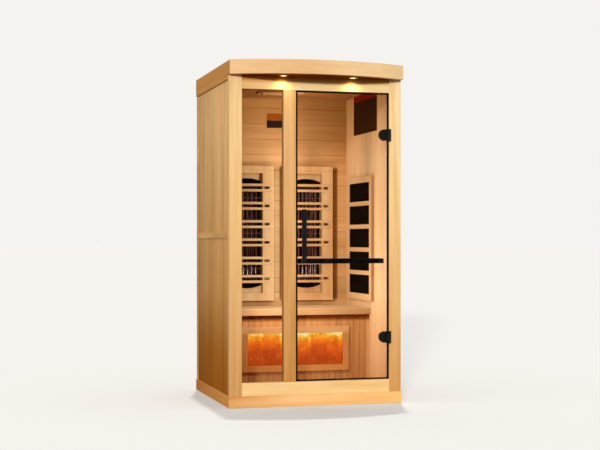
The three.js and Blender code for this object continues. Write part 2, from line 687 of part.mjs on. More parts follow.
// Back heaters: a slatted wooden guard with arched plates in its opening, a reflector and a row of rods.
function archedWindow(x, z) {
  const arch = bow(GUARD_OPENING_WIDTH / 2, -ARCH_SPRING / 2, ARCH_RISE, ARCH_STEPS);
  const bottom = arch.map(([u, v]) => [x + u, z + v]);
  const top = arch.map(([u, v]) => [x - u, z - v]);
  return [...bottom, ...top];
}

function heaterGuard(x, z) {
  const faceY = innerBack - HEATER_DEPTH;
  const boardBack = faceY + GUARD_WALL;
  const plateY = [faceY + GUARD_RECESS, faceY + GUARD_RECESS + ARCH_PLATE];
  const pastBack = innerBack + OVER;
  const outerX = span(x, HEATER_WIDTH);
  const outerZ = span(z, HEATER_HEIGHT);
  const openX = span(x, GUARD_OPENING_WIDTH);
  const openZ = span(z, GUARD_OPENING_HEIGHT);
  const [pocketX, pocketZ] = grow([outerX, outerZ], -GUARD_WALL);
  const [liningX, liningZ] = grow([openX, openZ], GUARD_LINING);
  const lining = block([liningX, [boardBack - OVER, pastBack + OVER], liningZ]);
  const pocket = cut(block([pocketX, [boardBack, pastBack], pocketZ]), lining);
  const recess = block([openX, [faceY - OVER, plateY[0]], openZ]);
  const window = sweepBack(archedWindow(x, z), grow([plateY], OVER)[0]);
  const reflectorSeat = block([openX, [plateY[1], pastBack], openZ]);
  const railJoints = [outerZ[0] + GUARD_RAIL, outerZ[1] - GUARD_RAIL].map((jointZ) =>
    block([grow([outerX], OVER)[0], [faceY - OVER, faceY + JOINT_DEPTH / 2], span(jointZ, JOINT_DEPTH)]));

  const slats = [];
  const slots = [];
  for (let pair = 0; pair < SLAT_PAIRS; pair += 1) {
    const pairZ = z + (pair - (SLAT_PAIRS - 1) / 2) * SLAT_PAIR_PITCH;
    for (const slatZ of span(pairZ, SLAT_SPACING)) {
      const slatY = [faceY - SLAT_PROUD, faceY - SLAT_PROUD + SLAT_THICK];
      slats.push(block([grow([outerX], -SLAT_INSET)[0], slatY, span(slatZ, SLAT_HEIGHT)]));
    }
    for (const [, sign] of SIDES) {
      const slotX = x + sign * (HEATER_WIDTH / 2 - SLOT_INSET - SLOT_WIDTH / 2);
      const slotY = grow([[faceY, boardBack]], OVER)[0];
      slots.push(block([span(slotX, SLOT_WIDTH), slotY, span(pairZ, SLOT_HEIGHT)]));
    }
  }
  const box = block([outerX, [faceY, innerBack], outerZ]);
  return join(cut(box, pocket, recess, window, reflectorSeat, ...railJoints, ...slots), ...slats);
}

function backHeaters() {
  const z = HEATER_BOTTOM + HEATER_HEIGHT / 2;
  const lipY = innerBack - HEATER_DEPTH + GUARD_RECESS + ARCH_PLATE;
  const floorY = lipY + REFLECTOR_DEPTH;
  const rodY = floorY - ROD_OUT;
  for (const [side, sign] of SIDES) {
    const x = (sign * (HEATER_WIDTH + HEATER_GAP)) / 2;
    piece(`${side}_heater_guard`, HEATER_WOOD, heaterGuard(x, z));

    const rim = GUARD_OPENING_WIDTH / 2 - FIT;
    const [mouth, floor] = [rim - REFLECTOR_FLANGE, REFLECTOR_FLOOR / 2];
    const trough = [
      [x - rim, lipY], [x - mouth, lipY], [x - floor, floorY],
      [x + floor, floorY], [x + mouth, lipY], [x + rim, lipY],
    ];
    const back = trough.map(([u, v]) => [u, v + REFLECTOR_THICK]).reverse();
    piece(`${side}_heater_reflector`, BLACK_METAL, sweepUp([...trough, ...back], span(z, REFLECTOR_HEIGHT)));

    const bank = [];
    for (let rod = 0; rod < RODS; rod += 1) {
      const rodX = x + (rod - (RODS - 1) / 2) * ROD_PITCH;
      bank.push(barZ(ROD_RADIUS, rodX, rodY, span(z, ROD_LENGTH)));
    }
    for (const holderZ of span(z, ROD_LENGTH - HOLDER_HEIGHT)) {
      const across = span(x, (RODS - 1) * ROD_PITCH);
      bank.push(block([across, span(rodY, HOLDER_THICK), span(holderZ, HOLDER_HEIGHT)]));
      bank.push(block([span(x, HOLDER_FOOT), [rodY, floorY], span(holderZ, HOLDER_HEIGHT)]));
    }
    piece(`${side}_heater_rods`, HEATER_ROD, join(...bank));
  }
}

// Side heaters: a carbon panel let into the back of a frame with a ladder of windows.
const panelY = [innerBack - PANEL_FROM_BACK - PANEL_WIDTH, innerBack - PANEL_FROM_BACK];

function sideHeaters() {
  const z = [PANEL_BOTTOM, PANEL_BOTTOM + PANEL_HEIGHT];
  const middleY = (panelY[0] + panelY[1]) / 2;
  const middleZ = (z[0] + z[1]) / 2;
  const windowsHeight = PANEL_WINDOW_HEIGHT + (PANEL_WINDOWS - 1) * PANEL_WINDOW_PITCH;
  const carbonY = span(middleY, PANEL_WINDOW_WIDTH + 2 * CARBON_LAP);
  const carbonZ = span(middleZ, windowsHeight + 2 * CARBON_LAP);
  for (const [side, sign] of SIDES) {
    const x = mirrored([innerHalf - PANEL_THICK, innerHalf], sign);
    const carbon = [mirrored([innerHalf - CARBON_THICK, innerHalf], sign), carbonY, carbonZ];
    const windows = [];
    const throughX = grow([x], OVER)[0];
    const windowY = span(middleY, PANEL_WINDOW_WIDTH);
    for (let k = 0; k < PANEL_WINDOWS; k += 1) {
      const windowZ = middleZ + (k - (PANEL_WINDOWS - 1) / 2) * PANEL_WINDOW_PITCH;
      windows.push(block([throughX, windowY, span(windowZ, PANEL_WINDOW_HEIGHT)]));
    }
    const frame = block([x, panelY, z]);
    piece(`${side}_panel_frame`, HEATER_WOOD, cut(frame, block(grow(carbon, FIT)), ...windows));
    piece(`${side}_carbon_panel`, CARBON, block(carbon));
  }
}

// Bench: the seat lies on the boarded front and on a cleat along the back wall.
const seatY = [innerBack - SEAT_DEPTH, innerBack - FIT];
const benchTop = SEAT_TOP - SEAT_THICK;
const benchFrontY = [
  seatY[0] + BENCH_FRONT_SETBACK,
  seatY[0] + BENCH_FRONT_SETBACK + BENCH_FRONT_THICK,
];
const saltX = span(0, SALT_WIDTH);
const saltZ = [SALT_BOTTOM, SALT_BOTTOM + SALT_HEIGHT];

function bench() {
  const seatX = span(0, 2 * (innerHalf - SEAT_END_GAP));
  const boards = boardedFace(seatY, seams(seatY, SEAT_DEPTH / SEAT_BOARDS), SEAT_TOP, -1);
  const seat = [...boards, [seatY[1], benchTop], [seatY[0], benchTop]];
  piece('bench_seat', BENCH_WOOD, sweepAcross(seat, seatX));
  const cleat = [seatX, [innerBack - CLEAT, innerBack], [benchTop - CLEAT, benchTop]];
  piece('seat_cleat', BENCH_WOOD, block(cleat));

  const frontX = span(0, 2 * (innerHalf - BENCH_END));
  const front = boardedFace(frontX, seams(frontX, BENCH_BOARD), benchFrontY[0], 1);
  const plan = [...front, [frontX[1], benchFrontY[1]], [frontX[0], benchFrontY[1]]];
  const panel = sweepUp(plan, [deckTop, benchTop]);
  const opening = block([saltX, grow([benchFrontY], OVER)[0], saltZ]);
  piece('bench_front', BENCH_WOOD, cut(panel, opening));

  const frameFace = benchFrontY[0] - SALT_FRAME_THICK;
  const [outerX, outerZ] = grow([saltX, saltZ], SALT_FRAME);
  const frameY = [frameFace, benchFrontY[0]];
  const sight = block([saltX, grow([frameY], OVER)[0], saltZ]);
  piece('salt_frame', BENCH_WOOD, cut(block([outerX, frameY, outerZ]), sight));

  const tileFace = frameFace + SALT_RECESS;
  const tileBack = tileFace + SALT_THICK;
  const [tilesX, tilesZ] = grow([saltX, saltZ], -FIT);
  const tiles = boardedFace(tilesX, seams(tilesX, SALT_WIDTH / SALT_TILES), tileFace, 1);
  piece('salt_tiles', SALT, sweepUp([...tiles, [tilesX[1], tileBack], [tilesX[0], tileBack]], tilesZ));

  const boxY = [benchFrontY[1], benchFrontY[1] + LIGHT_BOX_DEPTH];
  const [boxX, boxZ] = grow([saltX, saltZ], LIGHT_BOX_LAP);
  const [hollowX, hollowZ] = grow([boxX, boxZ], -LIGHT_BOX_WALL);
  const hollow = block([hollowX, [boxY[0] - OVER, boxY[1] - LIGHT_BOX_WALL], hollowZ]);
  piece('salt_light_box', BLACK_PLASTIC, cut(block([boxX, boxY, boxZ]), hollow));
}

// Control panel with a display recess and a row of push buttons.
function controls() {
  const face = CONTROL_THICK - innerHalf;
  const y = [panelY[0] - CONTROL_GAP - CONTROL_WIDTH, panelY[0] - CONTROL_GAP];
  const z = [CONTROL_BOTTOM, CONTROL_BOTTOM + CONTROL_HEIGHT];
  const middleY = (y[0] + y[1]) / 2;
  const displayZ = [z[1] - DISPLAY_FROM_TOP - DISPLAY_HEIGHT, z[1] - DISPLAY_FROM_TOP];
  const display = block([[face - DISPLAY_RECESS, face + OVER], span(middleY, DISPLAY_WIDTH), displayZ]);
  const buttonZ = z[0] + BUTTON_FROM_BOTTOM;
  const bores = [];
  BUTTONS.forEach((name, k) => {
    const buttonY = middleY + (k - (BUTTONS.length - 1) / 2) * BUTTON_PITCH;
    bores.push(barX(BUTTON_RADIUS + RUN, [face - BUTTON_BORE, face + OVER], buttonY, buttonZ, ROUND));
    const cap = barX(BUTTON_RADIUS, [face - BUTTON_IN, face + BUTTON_PROUD], buttonY, buttonZ, ROUND);
    piece(`${name}_button`, BLACK_PLASTIC, cap);
  });
  piece('control_panel', BLACK_PLASTIC, cut(block([[-innerHalf, face], y, z]), display, ...bores));
}

base();
walls();
frontFrame();
door();
hinges();
roof();
downlights();
vent();
power();
backHeaters();
sideHeaters();
bench();
controls();

export default cabin;
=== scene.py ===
import math

import bmesh
import bpy
from mathutils import Matrix, Vector, noise

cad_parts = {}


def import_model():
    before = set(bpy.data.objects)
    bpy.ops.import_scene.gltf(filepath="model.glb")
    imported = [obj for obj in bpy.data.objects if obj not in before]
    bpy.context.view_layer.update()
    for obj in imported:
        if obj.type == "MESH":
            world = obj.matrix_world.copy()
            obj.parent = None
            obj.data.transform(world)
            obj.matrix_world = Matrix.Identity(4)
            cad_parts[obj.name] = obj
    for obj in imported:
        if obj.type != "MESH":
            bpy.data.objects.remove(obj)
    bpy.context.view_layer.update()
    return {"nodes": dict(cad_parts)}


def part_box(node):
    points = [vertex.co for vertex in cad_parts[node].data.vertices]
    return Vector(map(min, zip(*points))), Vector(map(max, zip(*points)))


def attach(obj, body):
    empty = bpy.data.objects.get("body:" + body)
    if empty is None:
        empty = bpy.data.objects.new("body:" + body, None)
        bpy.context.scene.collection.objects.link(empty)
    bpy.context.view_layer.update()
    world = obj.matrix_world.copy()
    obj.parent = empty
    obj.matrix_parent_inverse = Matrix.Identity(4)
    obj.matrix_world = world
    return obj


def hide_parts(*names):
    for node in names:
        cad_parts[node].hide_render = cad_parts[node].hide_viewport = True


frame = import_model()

scene = bpy.context.scene

# Metres, in the cabin's own frame: +X right, +Y back, +Z up. FRONT is the front face of the cabin.
MM = 0.001
FRONT = -0.470


def linear(red, green, blue):
    """A screen colour, 0 to 255, as the light that a shader takes."""
    def channel(value):
        value /= 255
        return value / 12.92 if value <= 0.04045 else ((value + 0.055) / 1.055) ** 2.4
    return channel(red), channel(green), channel(blue), 1.0


# Materials


class Finish:
    """A material, built a node at a time."""

    def __init__(self, name):
        self.material = bpy.data.materials.new(name)
        self.material.use_nodes = True
        self.tree = self.material.node_tree
        self.tree.nodes.clear()
        self.output = self.tree.nodes.new("ShaderNodeOutputMaterial")

    def node(self, kind, inputs=(), **settings):
        made = self.tree.nodes.new("ShaderNode" + kind)
        for name, value in settings.items():
            setattr(made, name, value)
        for key, value in dict(inputs).items():
            if isinstance(value, bpy.types.NodeSocket):
                self.tree.links.new(value, made.inputs[key])
            else:
                made.inputs[key].default_value = value
        return made

    def sum(self, operation, first, second=0.0, third=0.0):
        """One number from others by arithmetic."""
        return self.node("Math", {0: first, 1: second, 2: third}, operation=operation).outputs[0]

    def place(self):
        """The point on the piece, as a vector and as three numbers."""
        point = self.node("TexCoord").outputs["Object"]
        return point, self.node("SeparateXYZ", {0: point}).outputs

    def cloud(self, point, scale, detail=3.0, roughness=0.5, distortion=0.0):
        inputs = {"Vector": point, "Scale": scale, "Detail": detail, "Roughness": roughness}
        return self.node("TexNoise", {**inputs, "Distortion": distortion}).outputs["Fac"]

    def stretch(self, point, scale):
        return self.node("Mapping", {"Vector": point, "Scale": scale}).outputs[0]

    def ramp(self, amount, stops):
        made = self.node("ValToRGB", {"Fac": amount})
        elements = made.color_ramp.elements
        while len(elements) < len(stops):
            elements.new(0.5)
        for element, (at, colour) in zip(elements, stops):
            element.position = at
            element.color = colour
        return made.outputs["Color"]

    def spread(self, amount, low, high, start=0.0, end=1.0):
        """amount from start to end, as a number from low to high."""
        inputs = {"Value": amount, "From Min": start, "From Max": end, "To Min": low, "To Max": high}
        return self.node("MapRange", inputs).outputs["Result"]

    def blend(self, amount, first, second, kind="MIX"):
        made = self.node("Mix", data_type="RGBA", blend_type=kind)
        for socket, value in zip([made.inputs[0], made.inputs[6], made.inputs[7]], [amount, first, second]):
            if isinstance(value, bpy.types.NodeSocket):
                self.tree.links.new(value, socket)
            else:
                socket.default_value = value
        return made.outputs[2]

    def choose(self, amount, first, second):
        made = self.node("Mix", data_type="VECTOR")
        for socket, value in zip([made.inputs[0], made.inputs[4], made.inputs[5]], [amount, first, second]):
            self.tree.links.new(value, socket)
        return made.outputs[1]

    def bump(self, height, distance):
        inputs = {"Height": height, "Distance": distance, "Strength": 1.0}
        return self.node("Bump", inputs).outputs["Normal"]

    def surface(self, **inputs):
        """The finished surface. Sockets are named with _ for a space."""
        named = {key.replace("_", " "): value for key, value in inputs.items()}
        shader = self.node("BsdfPrincipled", named)
        self.tree.links.new(shader.outputs[0], self.output.inputs[0])
        return self.material


ALONG = {"X": (1.4, 30.0, 30.0), "Y": (30.0, 1.4, 30.0), "Z": (30.0, 30.0, 1.4)}
FIBRES = {"X": (5.0, 260.0, 260.0), "Y": (260.0, 5.0, 260.0), "Z": (260.0, 260.0, 5.0)}
KNOTS = {"X": (2.4, 7.0, 7.0), "Y": (7.0, 2.4, 7.0), "Z": (7.0, 7.0, 2.4)}
KNOT = linear(104, 58, 24)
SEAM = 0.0026
SEAM_BROWN = linear(112, 62, 24)


def wood(name, tone, along, boards=None, varied=0.0, turned=None, other="X", second=None, seamed=0.5, shine=0.03):
    """Planed softwood with the grain along one axis.

    tone is its pale and its deep colour, and a shade(finish, numbers) that multiplies them or None.
    boards is (axis number, where the first board starts, pitch): each board then has its own grain and tone.
    turned(finish, numbers) says where the grain runs along the other axis instead.
    second is another tone, with a test of where it holds. seamed is how dark the joints of the boards are.
    """
    finish = Finish(name)
    point, numbers = finish.place()
    moved = point
    if boards:
        axis, start, pitch = boards
        counted = finish.sum("DIVIDE", finish.sum("SUBTRACT", numbers[axis], start), pitch)
        number = finish.sum("FLOOR", counted)
        board = finish.node("TexWhiteNoise", {"W": number}, noise_dimensions="1D")
        shift = finish.node("VectorMath", {0: board.outputs["Color"], "Scale": 3.0}, operation="SCALE")
        moved = finish.node("VectorMath", {0: point, 1: shift.outputs[0]}, operation="ADD").outputs[0]

    there = turned(finish, numbers) if turned else None

    def grained(scales):
        across = finish.stretch(moved, scales[along])
        return finish.choose(there, across, finish.stretch(moved, scales[other])) if turned else across

    figure = finish.cloud(grained(ALONG), 1.0, 5.0, 0.62, 0.5)
    fibre = finish.cloud(grained(FIBRES), 1.0, 2.0, 0.6)
    amount = finish.sum("MULTIPLY_ADD", fibre, 0.22, finish.sum("MULTIPLY", figure, 0.78))

    def toned(pale, deep, shade):
        plain = finish.ramp(amount, [(0.34, deep), (0.62, pale)])
        return finish.blend(1.0, plain, shade(finish, numbers), "MULTIPLY") if shade else plain

    colour = toned(*tone)
    if second:
        colour = finish.blend(second[1](finish, numbers), colour, toned(*second[0]))
    if boards and varied:
        cast = finish.spread(board.outputs["Value"], 1 - varied, 1 + 0.3 * varied)
        colour = finish.blend(1.0, colour, cast, "MULTIPLY")
    cell = finish.node("TexVoronoi", {"Vector": grained(KNOTS), "Scale": 1.0})
    rare = finish.node("SeparateXYZ", {0: cell.outputs["Color"]}).outputs[0]
    near = finish.spread(cell.outputs["Distance"], 0.75, 0.0, 0.012, 0.05)
    knot = finish.sum("MULTIPLY", near, finish.sum("GREATER_THAN", rare, 0.72))
    colour = finish.blend(knot, colour, KNOT)
    if boards:
        middle = finish.sum("ABSOLUTE", finish.sum("SUBTRACT", finish.sum("SUBTRACT", counted, number), 0.5))
        seam = finish.spread(finish.sum("MULTIPLY", finish.sum("SUBTRACT", 0.5, middle), pitch), 1.0, 0.0, 0.001, SEAM)
        colour = finish.blend(finish.sum("MULTIPLY", seam, seamed), colour, SEAM_BROWN)
    return finish.surface(
        Base_Color=colour,
        Roughness=finish.spread(fibre, 0.48, 0.66),
        Specular_IOR_Level=shine,
        Normal=finish.bump(fibre, 0.00025),
    )


def facing(axis):
    """A test: 1 on faces that look along an axis, either way."""
    def test(finish, numbers):
        normal = finish.node("NewGeometry").outputs["Normal"]
        along = finish.node("SeparateXYZ", {0: normal}).outputs[axis]
        return finish.sum("GREATER_THAN", finish.sum("ABSOLUTE", along), 0.7)
    return test


def beyond(axis, middle, reach):
    """A test: 1 where a coordinate is further from the middle than reach."""
    def test(finish, numbers):
        return finish.sum("GREATER_THAN", finish.sum("ABSOLUTE", finish.sum("SUBTRACT", numbers[axis], middle)), reach)
    return test


def before(axis, limit):
    """A test: 1 where a coordinate is less than limit."""
    def test(finish, numbers):
        return finish.sum("LESS_THAN", numbers[axis], limit)
    return test


def within(axis, reach):
    """A test: 1 where a coordinate is nearer to 0 than reach."""
    def test(finish, numbers):
        return finish.sum("LESS_THAN", finish.sum("ABSOLUTE", numbers[axis]), reach)
    return test


def graded(axis, *stops):
    """A shade that changes along an axis. A stop is (place, red, green, blue)."""
    low, high = stops[0][0], stops[-1][0]

    def shade(finish, numbers):
        place = finish.spread(numbers[axis], 0.0, 1.0, low, high)
        return finish.ramp(place, [((at - low) / (high - low), (*colour, 1.0)) for at, *colour in stops])
    return shade


def upward(*stops):
    """A shade that changes with height."""
    return graded(2, *stops)


def layered(first, second):
    """Two shades, multiplied."""
    def shade(finish, numbers):
        return finish.blend(1.0, first(finish, numbers), second(finish, numbers), "MULTIPLY")
    return shade


def held(test, shade):
    """A shade that holds where a test does."""
    def both(finish, numbers):
        return finish.blend(test(finish, numbers), (1.0, 1.0, 1.0, 1.0), shade(finish, numbers))
    return both


def above(height, shade):
    """A shade that holds above a height, and fades in over the next 40 mm."""
    def both(finish, numbers):
        high = finish.spread(numbers[2], 0.0, 1.0, height, height + 0.040)
        return finish.blend(high, (1.0, 1.0, 1.0, 1.0), shade(finish, numbers))
    return both


def sided(left, right):
    """One shade in the cabin's left half and another in its right half."""
    def both(finish, numbers):
        on_left = finish.sum("LESS_THAN", numbers[0], 0.0)
        return finish.blend(on_left, right(finish, numbers), left(finish, numbers))
    return both


def beside_heaters(finish, numbers):
    """A shade: a browner band on the outer side of each heater and on the right one's inner side.

    There the guards keep the light off.
    """
    reach = finish.sum("SUBTRACT", finish.sum("ABSOLUTE", numbers[0]), GUARD_SIDE)
    outside = finish.sum("GREATER_THAN", reach, 0.0)
    across = finish.sum("MULTIPLY", finish.spread(reach, 1.0, 0.0, 0.040, 0.052), outside)
    inside = finish.sum("LESS_THAN", numbers[0], GUARD_INNER + 0.010)
    inner = finish.spread(numbers[0], 0.0, 1.0, GUARD_INNER - 0.016, GUARD_INNER - 0.012)
    across = finish.sum("MAXIMUM", across, finish.sum("MULTIPLY", inner, inside))
    away = finish.sum("ABSOLUTE", finish.sum("SUBTRACT", numbers[2], GUARD_MIDDLE))
    up = finish.spread(away, 1.0, 0.0, GUARD_HALF - 0.012, GUARD_HALF + 0.004)
    return finish.blend(finish.sum("MULTIPLY", across, up), (1.0, 1.0, 1.0, 1.0), (0.44, 0.28, 0.10, 1.0))


GUARD_SIDE = 0.351
GUARD_INNER = 0.033
GUARD_MIDDLE = 0.960
GUARD_HALF = 0.416

# Painted shade: the posts darker towards the bottom.
PAINTED_POST_FOOT_SHADE = upward((0.05, 0.70, 0.55, 0.42), (0.45, 0.80, 0.66, 0.54), (1.0, 0.95, 0.90, 0.83), (1.7, 1.0, 1.0, 1.0))
# Painted shade: the mullion darker towards the bottom.
PAINTED_MULLION_FOOT_SHADE = upward((0.05, 0.72, 0.54, 0.32), (0.45, 0.80, 0.66, 0.48), (1.0, 0.95, 0.90, 0.83), (1.7, 1.0, 1.0, 1.0))
# Painted shade: the left wall's outer face darker and browner towards the bottom.
PAINTED_WALL_FOOT_SHADE = upward((0.06, 0.41, 0.22, 0.02), (0.30, 0.47, 0.29, 0.07), (0.62, 0.71, 0.63, 0.52), (1.6, 1.02, 1.07, 1.2))
# Painted shade: the back wall's lining darker towards the top, and a little at its foot.
PAINTED_LINING_SHADE = upward((0.50, 0.90, 0.88, 0.86), (1.20, 1.0, 0.98, 0.96), (1.45, 0.94, 0.88, 0.80), (1.75, 0.84, 0.72, 0.50))
# Painted shadow of the roof's overhang along the top of the top rail.
PAINTED_OVERHANG_SHADOW = upward((1.74, 1.0, 1.0, 1.0), (1.785, 1.0, 1.0, 1.0), (1.799, 0.74, 0.46, 0.20), (1.822, 0.42, 0.17, 0.03))
LIT_ABOVE = upward((0.147, 1.08, 1.00, 0.80), (0.365, 0.84, 0.78, 0.74), (0.375, 0.98, 1.13, 1.36), (0.408, 1.04, 1.22, 1.48))
# Painted shade: the walls' inner faces darker and redder at the foot and under the ceiling.
PAINTED_INNER_WALL_SHADE = upward((0.10, 0.92, 0.80, 0.68), (0.40, 0.92, 0.83, 0.74), (0.62, 1.0, 0.98, 0.98),
                  (1.40, 1.04, 1.02, 0.96), (1.80, 0.98, 0.86, 0.64))
# Painted light and shade: the left wall's outer face lighter towards the front and darker towards the back.
PAINTED_WALL_FRONT_LIGHT = graded(1, (-0.43, 1.17, 1.16, 1.22), (-0.10, 1.08, 1.08, 1.12), (0.43, 0.79, 0.76, 0.81))
# Painted shade: the plinth's front darker towards its left end.
PAINTED_PLINTH_FRONT_SHADE = graded(0, (-0.499, 0.78, 0.63, 0.51), (-0.12, 1.04, 1.0, 1.07), (0.499, 1.08, 1.10, 1.12))
# Painted light and shade: the plinth's sides lighter towards the front and darker towards the back.
PAINTED_PLINTH_SIDE_LIGHT = graded(1, (-0.477, 1.13, 1.27, 1.72), (0.06, 0.92, 0.96, 1.05), (0.477, 0.66, 0.56, 0.36))
SEAT_SHADOW = upward((0.436, 1.0, 1.0, 1.0), (0.446, 0.60, 0.47, 0.32), (0.456, 0.37, 0.18, 0.04), (0.478, 0.44, 0.17, 0.02))
LIT_LEFT = graded(0, (-0.20, 1.40, 1.58, 1.88), (0.21, 0.94, 0.96, 1.02), (0.44, 0.93, 0.86, 0.74))
# Painted light: the fascia lighter towards its right end.
PAINTED_FASCIA_LIGHT = graded(0, (-0.42, 0.97, 0.97, 0.99), (-0.06, 0.94, 0.93, 0.94), (0.14, 1.07, 1.17, 1.24), (0.499, 1.12, 1.28, 1.40))
# Painted light: the lining between the heaters lighter near their foot and a little darker near their top.
PAINTED_LIGHT_BETWEEN_HEATERS = upward((0.53, 1.0, 1.0, 1.0), (0.56, 1.12, 1.42, 1.85), (1.36, 0.80, 0.94, 1.12), (1.40, 1.0, 1.0, 1.0))
DULLED = upward((0.0, 0.92, 0.88, 0.80), (1.9, 0.92, 0.88, 0.80))
# Painted light and shade: the left heater guard lighter near its foot and darker near its top.
PAINTED_LEFT_GUARD_LIGHT = upward((0.56, 1.10, 1.24, 1.42), (1.0, 0.96, 1.05, 1.20), (1.376, 0.86, 0.90, 0.92))
# Painted light: the left heater guard's upper left part lighter.
PAINTED_LEFT_CORNER_LIGHT = graded(0, (-0.35, 1.24, 1.25, 1.25), (-0.15, 1.24, 1.25, 1.25), (-0.085, 1.0, 1.0, 1.0))
# Painted shade: the right heater guard darker above its foot.
PAINTED_RIGHT_GUARD_SHADE = upward((0.56, 1.04, 0.98, 0.94), (0.80, 0.88, 0.82, 0.79), (1.376, 0.86, 0.82, 0.80))
# Painted light: the right post lighter towards its top and warmer at its foot.
PAINTED_RIGHT_POST_LIGHT = upward((0.10, 1.06, 1.02, 0.86), (0.90, 1.05, 1.08, 1.05), (1.80, 1.04, 1.12, 1.24))
# Painted shade: the top rail darker at its left end.
PAINTED_TOP_RAIL_LEFT_SHADE = graded(0, (-0.43, 0.88, 0.78, 0.65), (-0.32, 0.99, 0.87, 0.77), (0.0, 1.0, 1.04, 1.02), (0.37, 1.0, 1.06, 1.10))

HONEY = linear(254, 217, 158), linear(241, 191, 122), None
HONEY_TOP = linear(255, 224, 168), linear(246, 202, 136), layered(PAINTED_OVERHANG_SHADOW, PAINTED_TOP_RAIL_LEFT_SHADE)
HONEY_POST = linear(250, 214, 158), linear(236, 188, 122), sided(PAINTED_POST_FOOT_SHADE, layered(PAINTED_POST_FOOT_SHADE, PAINTED_RIGHT_POST_LIGHT))
HONEY_MULLION = linear(238, 192, 134), linear(220, 164, 100), PAINTED_MULLION_FOOT_SHADE
GOLD = linear(255, 206, 140), linear(238, 176, 98), PAINTED_PLINTH_FRONT_SHADE
# Painted shade: a darker copy of the plinth's wood for its sides.
GOLD_PAINTED_SIDE_SHADE = linear(226, 154, 72), linear(206, 130, 50), PAINTED_PLINTH_SIDE_LIGHT
CREAM = linear(242, 198, 145), linear(233, 183, 126), None
CREAM_FASCIA = linear(242, 198, 145), linear(233, 183, 126), PAINTED_FASCIA_LIGHT
ROOF_SIDE = linear(216, 154, 78), linear(199, 132, 60), None
TAN = linear(248, 202, 132), linear(222, 158, 82), sided(layered(PAINTED_WALL_FOOT_SHADE, PAINTED_WALL_FRONT_LIGHT), DULLED)
TAN_BELT = linear(232, 184, 116), linear(206, 150, 82), None
TAN_BACK = linear(248, 198, 126), linear(224, 160, 84), None
CREAM_WALL = linear(246, 207, 162), linear(236, 192, 142), PAINTED_INNER_WALL_SHADE
PEACH = linear(228, 183, 132), linear(214, 161, 106), None
PEACH_GUARD = linear(228, 183, 132), linear(214, 161, 106), sided(layered(PAINTED_LEFT_GUARD_LIGHT, above(1.28, PAINTED_LEFT_CORNER_LIGHT)), PAINTED_RIGHT_GUARD_SHADE)
PEACH_SIDE = linear(234, 192, 145), linear(220, 169, 117), None
PEACH_SEAT = linear(244, 195, 140), linear(229, 172, 112), None
# Painted light: a lighter copy of the seat's wood for its faces that look up and down.
PEACH_PAINTED_SEAT_LIGHT = linear(255, 216, 166), linear(246, 198, 144), None
OCHRE = linear(199, 140, 88), linear(186, 122, 70), LIT_ABOVE
STRAW = linear(217, 163, 108), linear(196, 134, 82), SEAT_SHADOW
# Painted shade: a darker copy of the panel frames' wood for their faces that look forward and back.
UMBER_PAINTED_SHADE = linear(183, 139, 94), linear(170, 120, 74), None
RUSSET = linear(200, 142, 84), linear(174, 110, 58), None
RUSSET_BENCH = linear(196, 138, 84), linear(182, 119, 67), SEAT_SHADOW
RUSSET_WALL = linear(218, 167, 112), linear(204, 148, 92), layered(layered(PAINTED_LINING_SHADE, beside_heaters), layered(above(1.37, LIT_LEFT), held(within(0, GUARD_INNER), PAINTED_LIGHT_BETWEEN_HEATERS)))
# Painted shade: the soffit dark brown, for the shade under the roof's overhang.
PAINTED_SOFFIT_SHADE = linear(158, 66, 6), linear(120, 44, 2), None

WALL_BOARDS = (1, FRONT + 0.040, 0.86 / 9)
LINING_BOARDS = (2, 1.736, 0.0955)
WALL_MIDDLE = 0.4735

post_wood = wood("post_wood", HONEY_POST, "Z")
mullion_wood = wood("mullion_wood", HONEY_MULLION, "Z")
rail_wood = wood("rail_wood", HONEY, "X")
top_rail_wood = wood("top_rail_wood", HONEY_TOP, "X")
plinth_wood = wood("plinth_wood", GOLD, "X", turned=facing(0), other="Y", second=(GOLD_PAINTED_SIDE_SHADE, facing(0)))
wall_boards = wood("wall_boards", CREAM_WALL, "Z", WALL_BOARDS, 0.10, second=(TAN, beyond(0, 0.0, WALL_MIDDLE)), shine=0.006)
belt_wood = wood("belt_wood", TAN_BELT, "Y")
back_boards = wood("back_boards", TAN_BACK, "Z", (0, -0.495, 0.099), 0.12)
back_lining = wood("back_lining", RUSSET_WALL, "X", LINING_BOARDS, 0.12, seamed=0.18)
ceiling_boards = wood("ceiling_boards", RUSSET, "X", WALL_BOARDS, 0.15)
fascia_wood = wood("fascia_wood", CREAM_FASCIA, "X", turned=facing(0), other="Y", second=(ROOF_SIDE, facing(0)))
roof_wood = wood("roof_wood", CREAM, "X", turned=facing(0), other="Y", second=(ROOF_SIDE, facing(0)))
back_rail_wood = wood("back_rail_wood", CREAM, "X", second=(RUSSET, before(1, FRONT + 0.936)))
side_rail_wood = wood("side_rail_wood", ROOF_SIDE, "Y", second=(RUSSET, within(0, 0.488)))
soffit_wood = wood("soffit_wood", PAINTED_SOFFIT_SHADE, "X")
heater_wood = wood("heater_wood", PEACH_GUARD, "Z", turned=before(1, FRONT + 0.8485))
panel_wood = wood("panel_wood", PEACH_SIDE, "Y", turned=beyond(1, FRONT + 0.5815, 0.192), other="Z",
                  second=(UMBER_PAINTED_SHADE, facing(1)))
seat_wood = wood("seat_wood", PEACH_SEAT, "X", (1, FRONT + 0.416, 0.4837 / 5), 0.12, second=(PEACH_PAINTED_SEAT_LIGHT, facing(2)))
bench_boards = wood("bench_boards", RUSSET_BENCH, "Z", (0, -0.436, 0.872 / 23), 0.10, seamed=0.15)
batten_wood = wood("batten_wood", STRAW, "Z")
salt_frame_wood = wood("salt_frame_wood", OCHRE, "X", turned=beyond(0, 0.0, 0.290), other="Z")
vent_wood = wood("vent_wood", PEACH, "X")


